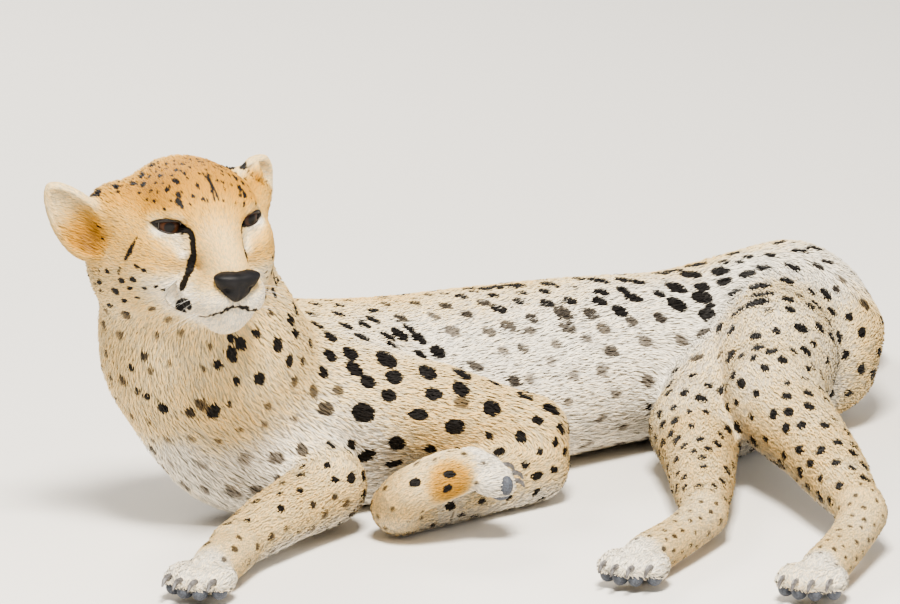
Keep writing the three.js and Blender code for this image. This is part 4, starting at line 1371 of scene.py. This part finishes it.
def growTufts():
    rng = np.random.default_rng(coatSet["seed"])
    length, width, many, fluff = coatRules()
    count = coatSet["total"]
    picked, corners, share = sampleSkin(rng, count, many)
    length = onSkin(length, corners, share) * rng.uniform(*coatSet["lengths"], count)
    width = onSkin(width, corners, share) * rng.uniform(*coatSet["widths"], count)
    root = onSkin(skinPoints, corners, share)
    out = unit(onSkin(skinNormals, corners, share))
    lie = tangent(onSkin(skinLie, corners, share), out)
    side = np.cross(out, lie)
    swing = rng.normal(0, coatSet["swing"], count)[:, None]
    lie = unit(lie * np.cos(swing) + side * np.sin(swing))
    side = np.cross(out, lie)
    lift = rng.beta(*coatSet["lift"], count)
    tree = BVHTree.FromPolygons(skinPoints.tolist(), [tuple(p) for p in skinCorners.tolist()])
    deep = onSkin(coatDepth(skinPoints), corners, share)
    deep = deep + onSkin(fluff, corners, share) * rng.random(count)
    places = []
    for reach in (coatSet["middle"], 1.0):
        aim = root + lie * (length * reach)[:, None]
        near = [tree.find_nearest(p) for p in aim.tolist()]
        places.append([np.array([hit[k] for hit in near]) for k in range(3)])
    (mid, midOut, midFace), (tip, tipOut, tipFace) = places
    rise = (0.25 + 0.75 * lift) * deep
    midUp = mid + midOut * (rise * 0.75)[:, None]
    tipUp = tip + tipOut * (rise * (0.55 + 0.5 * rng.random(count)))[:, None]
    rows = np.empty((count, 5, 3))
    rows[:, 0] = root - out * 0.5
    for k, sign in ((1, -1), (2, 1)):
        rows[:, k] = midUp + side * (sign * width)[:, None] - midOut * (0.2 * width)[:, None]
    rows[:, 3] = midUp + midOut * (0.38 * width)[:, None]
    rows[:, 4] = tipUp
    rows[:, :, 2] = np.maximum(rows[:, :, 2], coatSet["floor"])
    edges = [unit(midOut + side * (sign * 0.75)) for sign in (-1, 1)]
    normals = np.stack([out, *edges, midOut, tipOut], axis=1)
    # each tuft takes its colours from the skin under its middle and its tip
    seen = []
    for spot, face in ((mid, midFace), (tip, tipFace)):
        a, b, c = (skinPoints[skinCorners[face, k]] for k in range(3))
        whole = np.cross(b - a, c - a)
        size = np.maximum((whole ** 2).sum(1), 1e-9)
        wa = np.clip((np.cross(b - spot, c - spot) * whole).sum(1) / size, 0, 1)
        wb = np.clip((np.cross(c - spot, a - spot) * whole).sum(1) / size, 0, 1)
        weights = np.column_stack([wa, wb, np.clip(1 - wa - wb, 0, 1)])
        weights /= weights.sum(1, keepdims=True)
        place = skinCorners[face]
        gap, pale = markSpots(spots, spot)
        dark = darkLines(spot, onSkin(regions["tail"], place, weights))
        seen.append((gap, dark, onSkin(toneHere, place, weights), pale))
    return {
        "rows": rows, "normals": normals, "corners": corners, "share": share, "picked": picked,
        "chance": rng.random(count), "seen": seen,
    }


tufts = growTufts()
say("%d tufts grown" % len(tufts["rows"]))

tuftFaces = np.array([(0, 2, 1), (0, 1, 3), (0, 3, 2), (1, 2, 4), (3, 1, 4), (2, 3, 4)])
tuftPatch = np.array([(0, -0.5), (-0.4, 0), (0.4, 0), (0, 0.08), (0, 0.5)]) * coatSet["patch"]


def coatPiece(name, chosen):
    rows = tufts["rows"][chosen]
    count = len(rows)
    mesh = bpy.data.meshes.new(name)
    mesh.vertices.add(count * 5)
    mesh.vertices.foreach_set("co", toRow(rows.reshape(-1, 3)).ravel())
    corners = (tuftFaces[None] + np.arange(count)[:, None, None] * 5).reshape(-1)
    mesh.loops.add(len(corners))
    mesh.loops.foreach_set("vertex_index", corners)
    mesh.polygons.add(count * 6)
    mesh.polygons.foreach_set("loop_start", np.arange(count * 6) * 3)
    mesh.update(calc_edges=True)
    uv = np.empty(len(skinMesh.loops) * 2)
    skinMesh.uv_layers["OFBake"].data.foreach_get("uv", uv)
    uv = uv.reshape(-1, 2)
    at = (uv[skinLoops[tufts["picked"][chosen]]] * tufts["share"][chosen][:, :, None]).sum(1)
    spread = (at[:, None, :] + tuftPatch[None]).reshape(-1, 2)
    mesh.uv_layers.new(name="OFBake").data.foreach_set("uv", np.clip(spread, 0, 1)[corners].ravel())
    marks = []
    for middle, tip in zip(*tufts["seen"]):
        marks.append(np.column_stack([middle[chosen]] * 4 + [tip[chosen]]).ravel())
    addMarks(mesh, *marks)
    chance = np.repeat(tufts["chance"][chosen], 5)
    along = np.tile([0, 0.5, 0.5, 0.55, 1.0], count)
    addColors(mesh, "lock", chance, along, chance * 0, chance * 0 + 1)
    mesh.materials.append(coatPaint)
    mesh.polygons.foreach_set("use_smooth", np.ones(count * 6, bool))
    mesh.normals_split_custom_set_from_vertices(tufts["normals"][chosen].reshape(-1, 3))
    piece = newPiece(name, mesh)
    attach(piece, "root")


def coatParts():
    corners, share = tufts["corners"], tufts["share"]
    place = onSkin(skinPoints, corners, share)
    label = np.full(len(place), "Flank", dtype=object)
    label[place[:, 0] < -60] = "Chest"
    label[place[:, 0] > 190] = "Haunch"
    named = {
        "foreUpper": "Forelegs", "foreLower": "Forelegs", "hindUpper": "Hindlegs", "hindLower": "Hindlegs",
        "feet": "Feet", "tail": "Tail",
    }
    for key, name in named.items():
        label[onSkin(regions[key], corners, share) > 0.5] = name
    q = toHead(place)
    head = onSkin(regions["head"], corners, share) > 0.3
    label[head] = "Crown"
    label[head & (q[:, 1] > 38)] = "Face"
    label[head & (q[:, 2] < -8) & (q[:, 1] <= 38)] = "Cheeks"
    label[onSkin(earShare(skinPoints), corners, share) > 0.5] = "Ears"
    for name in sorted(set(label)):
        chosen = np.nonzero(label == name)[0]
        parts = math.ceil(len(chosen) / coatSet["most"])
        for k in range(parts):
            called = "coat" + name + (str(k + 1) if parts > 1 else "")
            coatPiece(called, chosen[k::parts])
            say("%s: %d tufts" % (called, len(chosen[k::parts])))


coatParts()


# the eyes: a ball with a clear bulge over a dark iris, and a wet dark rim to the lids
eyeParts = {
    "segments": 56, "rings": 40, "iris": 9.2, "pupil": 4.0, "bulge": 1.2, "span": 26.0,
    "lidSteps": 72, "lidRing": 8, "lidOut": 1.0, "rim": (1.3, 0.55),
}


def eyeMaterial():
    paint, tree, surface = newPaint("eyeGlass", rough=0.5, specular=0.15)
    across, around = partsIn(tree, "iris")[:2]
    far = mathIn(tree, "MULTIPLY", across, eyeParts["span"])
    fibres = nodeIn(tree, "ShaderNodeTexNoise", noise_dimensions="2D")
    fibres.inputs["Scale"].default_value = 1
    fibres.inputs["Detail"].default_value = 3
    spokes = nodeIn(tree, "ShaderNodeCombineXYZ")
    tree.links.new(mathIn(tree, "MULTIPLY", around, 95.0), spokes.inputs[0])
    tree.links.new(mathIn(tree, "MULTIPLY", far, 0.35), spokes.inputs[1])
    tree.links.new(spokes.outputs[0], fibres.inputs["Vector"])
    shade = mathIn(tree, "DIVIDE", far, eyeParts["iris"])
    shade = mathIn(tree, "ADD", shade, swingIn(tree, fibres.outputs[0], 0.22))
    pupil = eyeParts["pupil"] / eyeParts["iris"]
    color = rampIn(tree, shade, [
        (pupil, (0.004, 0.003, 0.003)), (pupil + 0.05, (0.03, 0.010, 0.004)), (0.62, (0.055, 0.019, 0.006)),
        (0.86, (0.035, 0.013, 0.005)), (0.985, (0.008, 0.005, 0.004)),
    ])
    gap = mathIn(tree, "SUBTRACT", far, eyeParts["iris"])
    white = mathIn(tree, "MULTIPLY", gap, 0.7, clamp=True)
    tree.links.new(mixIn(tree, white, color, (0.50, 0.44, 0.38)), surface.inputs["Base Color"])
    surface.inputs["Coat Weight"].default_value = 0.3
    surface.inputs["Coat Roughness"].default_value = 0.06
    return paint


eyePaint = eyeMaterial()


def makeEye(name, side):
    eye, ball = newBall(name, eyeParts["segments"], eyeParts["rings"])
    angle = np.arccos(np.clip(ball[:, 2], -1, 1))
    across, up, ahead = eyeAxes()
    r = eyeSet["r"] + eyeParts["bulge"] * ease(0.66, 0.1, angle)
    way = ball[:, :1] * across + ball[:, 1:2] * up + ball[:, 2:] * ahead
    q = np.array(eyeSet["at"]) + way * r[:, None]
    q[:, 0] *= side
    writePoints(eye.data, toRow(fromHead(q)))
    around = np.abs(np.arctan2(ball[:, 1], ball[:, 0])) / math.pi
    addColors(eye.data, "iris", angle * eyeSet["r"] / eyeParts["span"], around, angle * 0, angle * 0 + 1)
    if side < 0:
        editAll(bpy.ops.mesh.flip_normals)
    bpy.ops.object.shade_smooth()
    eye.data.materials.append(eyePaint)
    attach(eye, "root")
    return eye


wetDark = newPaint("lidRim", (0.012, 0.009, 0.008), 0.38)[0]


def makeLids(name, side):
    around, ring = eyeParts["lidSteps"], eyeParts["lidRing"]
    selectNone()
    bpy.ops.mesh.primitive_torus_add(major_segments=around, minor_segments=ring, location=(0, 0, 0))
    lids = bpy.context.object
    lids.name = name
    turn = np.arange(around) / around * 2 * math.pi
    upper = turn < math.pi
    s = eyeSet["wide"] * np.cos(turn)
    t = np.where(upper, lidHeight(s, True), lidHeight(s, False))
    across, up, ahead = eyeAxes()
    r = eyeSet["r"] + eyeParts["lidOut"]
    deep = np.sqrt(r * r - s * s - t * t)
    centre = np.array(eyeSet["at"]) + s[:, None] * across + t[:, None] * up + deep[:, None] * ahead
    thick = eyeParts["rim"][1] + (eyeParts["rim"][0] - eyeParts["rim"][1]) * ease(-2, 4, t)
    out = unit(centre - np.array(eyeSet["at"]))
    forward = unit(np.roll(centre, -1, 0) - np.roll(centre, 1, 0))
    q = tube(centre, thick, np.cross(out, forward) * 1.15, out * 0.8, ring)
    q[:, 0] *= side
    writePoints(lids.data, toRow(fromHead(q)))
    editAll(bpy.ops.mesh.normals_make_consistent, inside=False)
    bpy.ops.object.shade_smooth()
    lids.data.materials.append(wetDark)
    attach(lids, "root")


for side, key in sides:
    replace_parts(makeEye("eyeball" + key.capitalize(), side), "eye_" + key)
    makeLids("lids" + key.capitalize(), side)
say("eyes")


# the nose leather, broad above and narrow below
noseSet = {
    "segments": 64, "rings": 40, "middle": (0, 104.5, -22.6), "wide": 24.3, "deep": 11.5, "tall": 14.6,
    # nostril and the slit beside it: how far out, height, width, tallness, depth
    "dips": [(10.5, -22.5, 3.0, 2.4, 4.5), (15.5, -25.5, 3.4, 1.5, 2.5)],
}


def noseMaterial():
    paint, tree, surface = newPaint("noseLeather", rough=0.52, specular=0.24)
    cloud = textureIn(tree, "Noise", 120)
    color = rampIn(tree, cloud, [(0.3, (0.005, 0.005, 0.006)), (0.75, (0.014, 0.013, 0.015))])
    tree.links.new(color, surface.inputs["Base Color"])
    bumpIn(tree, textureIn(tree, "Voronoi", 1100), 0.35, 0.0004, surface)
    return paint


def makeNose():
    nose, ball = newBall("noseLeather", noseSet["segments"], noseSet["rings"])
    h = np.sign(ball[:, 2]) * np.abs(ball[:, 2]) ** 0.9
    # nearly flat above, rounded below
    full = np.maximum(1 - np.abs(h) ** np.where(h > 0, 6.0, 2.3), 0) ** 0.5
    flat = np.maximum(np.hypot(ball[:, 0], ball[:, 1]), 1e-6)
    x, y = ball[:, 0] / flat * full, ball[:, 1] / flat * full
    wide = noseSet["wide"] * (0.07 + 0.93 * ((h + 1) / 2) ** 0.62)
    q = np.column_stack([x * wide, y * noseSet["deep"] + 2.2 * h, h * noseSet["tall"]])
    q += np.array(noseSet["middle"])
    front = ease(0.0, 0.5, y)
    side = np.abs(q[:, 0])
    for away, height, broad, tall, deep in noseSet["dips"]:
        gap = ((side - away) / broad) ** 2 + ((q[:, 2] - height) / tall) ** 2
        q[:, 1] -= front * deep * np.exp(-gap)
    # the line between the nostrils and the dip of the top edge
    q[:, 1] -= front * 1.1 * np.exp(-(q[:, 0] / 1.3) ** 2) * ease(-12, -20, q[:, 2])
    q[:, 2] -= ease(0.3, 0.9, h) * 0.5 * np.exp(-(q[:, 0] / 5) ** 2)
    writePoints(nose.data, toRow(fromHead(q)))
    bpy.ops.object.shade_smooth()
    nose.data.materials.append(noseMaterial())
    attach(nose, "root")
    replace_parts(nose, "nose")


makeNose()
say("nose")


# whiskers: thin, white, in three rows on each lip
whiskerSet = {
    "seed": 12, "rows": (-28, -33, -50), "each": 2, "length": (28, 46),
    "thick": 0.12, "steps": 7, "sides": 4,
}


def makeWhiskers():
    rng = np.random.default_rng(whiskerSet["seed"])
    steps, count = whiskerSet["steps"], whiskerSet["sides"]
    rows, faces = [], []
    for side in (1, -1):
        for z in whiskerSet["rows"]:
            for i in range(whiskerSet["each"]):
                place = (side * 31, 99 - 4.5 * i + rng.normal(0, 1), z + rng.normal(0, 0.8))
                root = toHead(onForm([place]))[0]
                long = rng.uniform(*whiskerSet["length"]) * (0.75 + 0.1 * i)
                aim = [side * 1.0, 0.25 - 0.28 * i + rng.normal(0, 0.06), -0.22 + rng.normal(0, 0.07)]
                aim = unit(np.array(aim))
                t = np.linspace(0, 1, steps)[:, None]
                line = root + aim * long * t + np.array([0, -0.28, -0.34]) * long * t ** 2
                line[0] -= aim * 2
                forward = unit(np.gradient(line, axis=0))
                flat = unit(np.cross(forward, np.array([0, 0.2, 1.0])))
                up = np.cross(flat, forward)
                thick = whiskerSet["thick"] * (1 - 0.85 * t[:, 0])
                base = len(rows) * steps * count
                rows.append(tube(line, thick, flat, up, count))
                for a in range(base, base + (steps - 1) * count, count):
                    for b in range(count):
                        c = (b + 1) % count
                        faces.append((a + b, a + c, a + count + c, a + count + b))
                last = base + (steps - 1) * count
                faces.append(tuple(base + b for b in reversed(range(count))))
                faces.append(tuple(last + b for b in range(count)))
    mesh = bpy.data.meshes.new("whiskers")
    mesh.from_pydata(toRow(fromHead(np.vstack(rows))).tolist(), [], faces)
    piece = newPiece("whiskers", mesh)
    mesh.materials.append(newPaint("whiskerWhite", (0.86, 0.83, 0.78), 0.4)[0])
    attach(piece, "root")


makeWhiskers()
say("whiskers")


# pads under the toes, of smooth dark leather, with the folded paw's own one to the front
padSet = {
    "segments": 18, "rings": 12, "floor": 0.4, "toe": (6.6, 9.5, 7.0), "sole": (15, 11, 7),
    "extraAt": (-137.5, -254, 53.0), "extra": (5.8, 6.0, 8.5),
}


def makePads():
    parts = []
    for name, paw in paws.items():
        side, f, top = pawAxes(paw)
        end, toe = np.array(paw["end"], float), paw["toe"]
        places = [(at - top * (toe[2] - 6) + f * 8, turn, padSet["toe"]) for at, turn in toePlaces(paw)]
        places.append((end - top * 13 - f * 12, np.column_stack([side, f, top]), padSet["sole"]))
        if name == "pawLeft":
            places.append((np.array(padSet["extraAt"]), np.eye(3), padSet["extra"]))
        for at, turn, r in places:
            pad, ball = newBall("pads", padSet["segments"], padSet["rings"])
            q = at + (ball * np.array(r)) @ turn.T
            q[:, 2] = np.maximum(q[:, 2], padSet["floor"])
            writePoints(pad.data, toRow(q))
            parts.append(pad)
    selectOnly(*parts)
    bpy.ops.object.join()
    pads = bpy.context.view_layer.objects.active
    pads.name = "pads"
    editAll(bpy.ops.mesh.normals_make_consistent, inside=False)
    bpy.ops.object.shade_smooth()
    paint, tree, surface = newPaint("padLeather", rough=0.6)
    cells = textureIn(tree, "Voronoi", 700)
    color = rampIn(tree, cells, [(0.1, (0.10, 0.115, 0.145)), (0.8, (0.05, 0.055, 0.07))])
    tree.links.new(color, surface.inputs["Base Color"])
    pads.data.materials.append(paint)
    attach(pads, "root")


makePads()
say("pads")


# claws keep their solids, in streaked grey horn
def clawMaterial():
    paint, tree, surface = newPaint("clawHorn", rough=0.36)
    cloud = textureIn(tree, "Noise", 260, 4)
    color = rampIn(tree, cloud, [(0.3, (0.045, 0.04, 0.038)), (0.7, (0.19, 0.18, 0.18))])
    tree.links.new(color, surface.inputs["Base Color"])
    return paint


clawPaint = clawMaterial()
for name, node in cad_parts.items():
    if "_claw_" in name:
        for slot in node.material_slots:
            slot.link = "OBJECT"
            slot.material = clawPaint
say("claws")
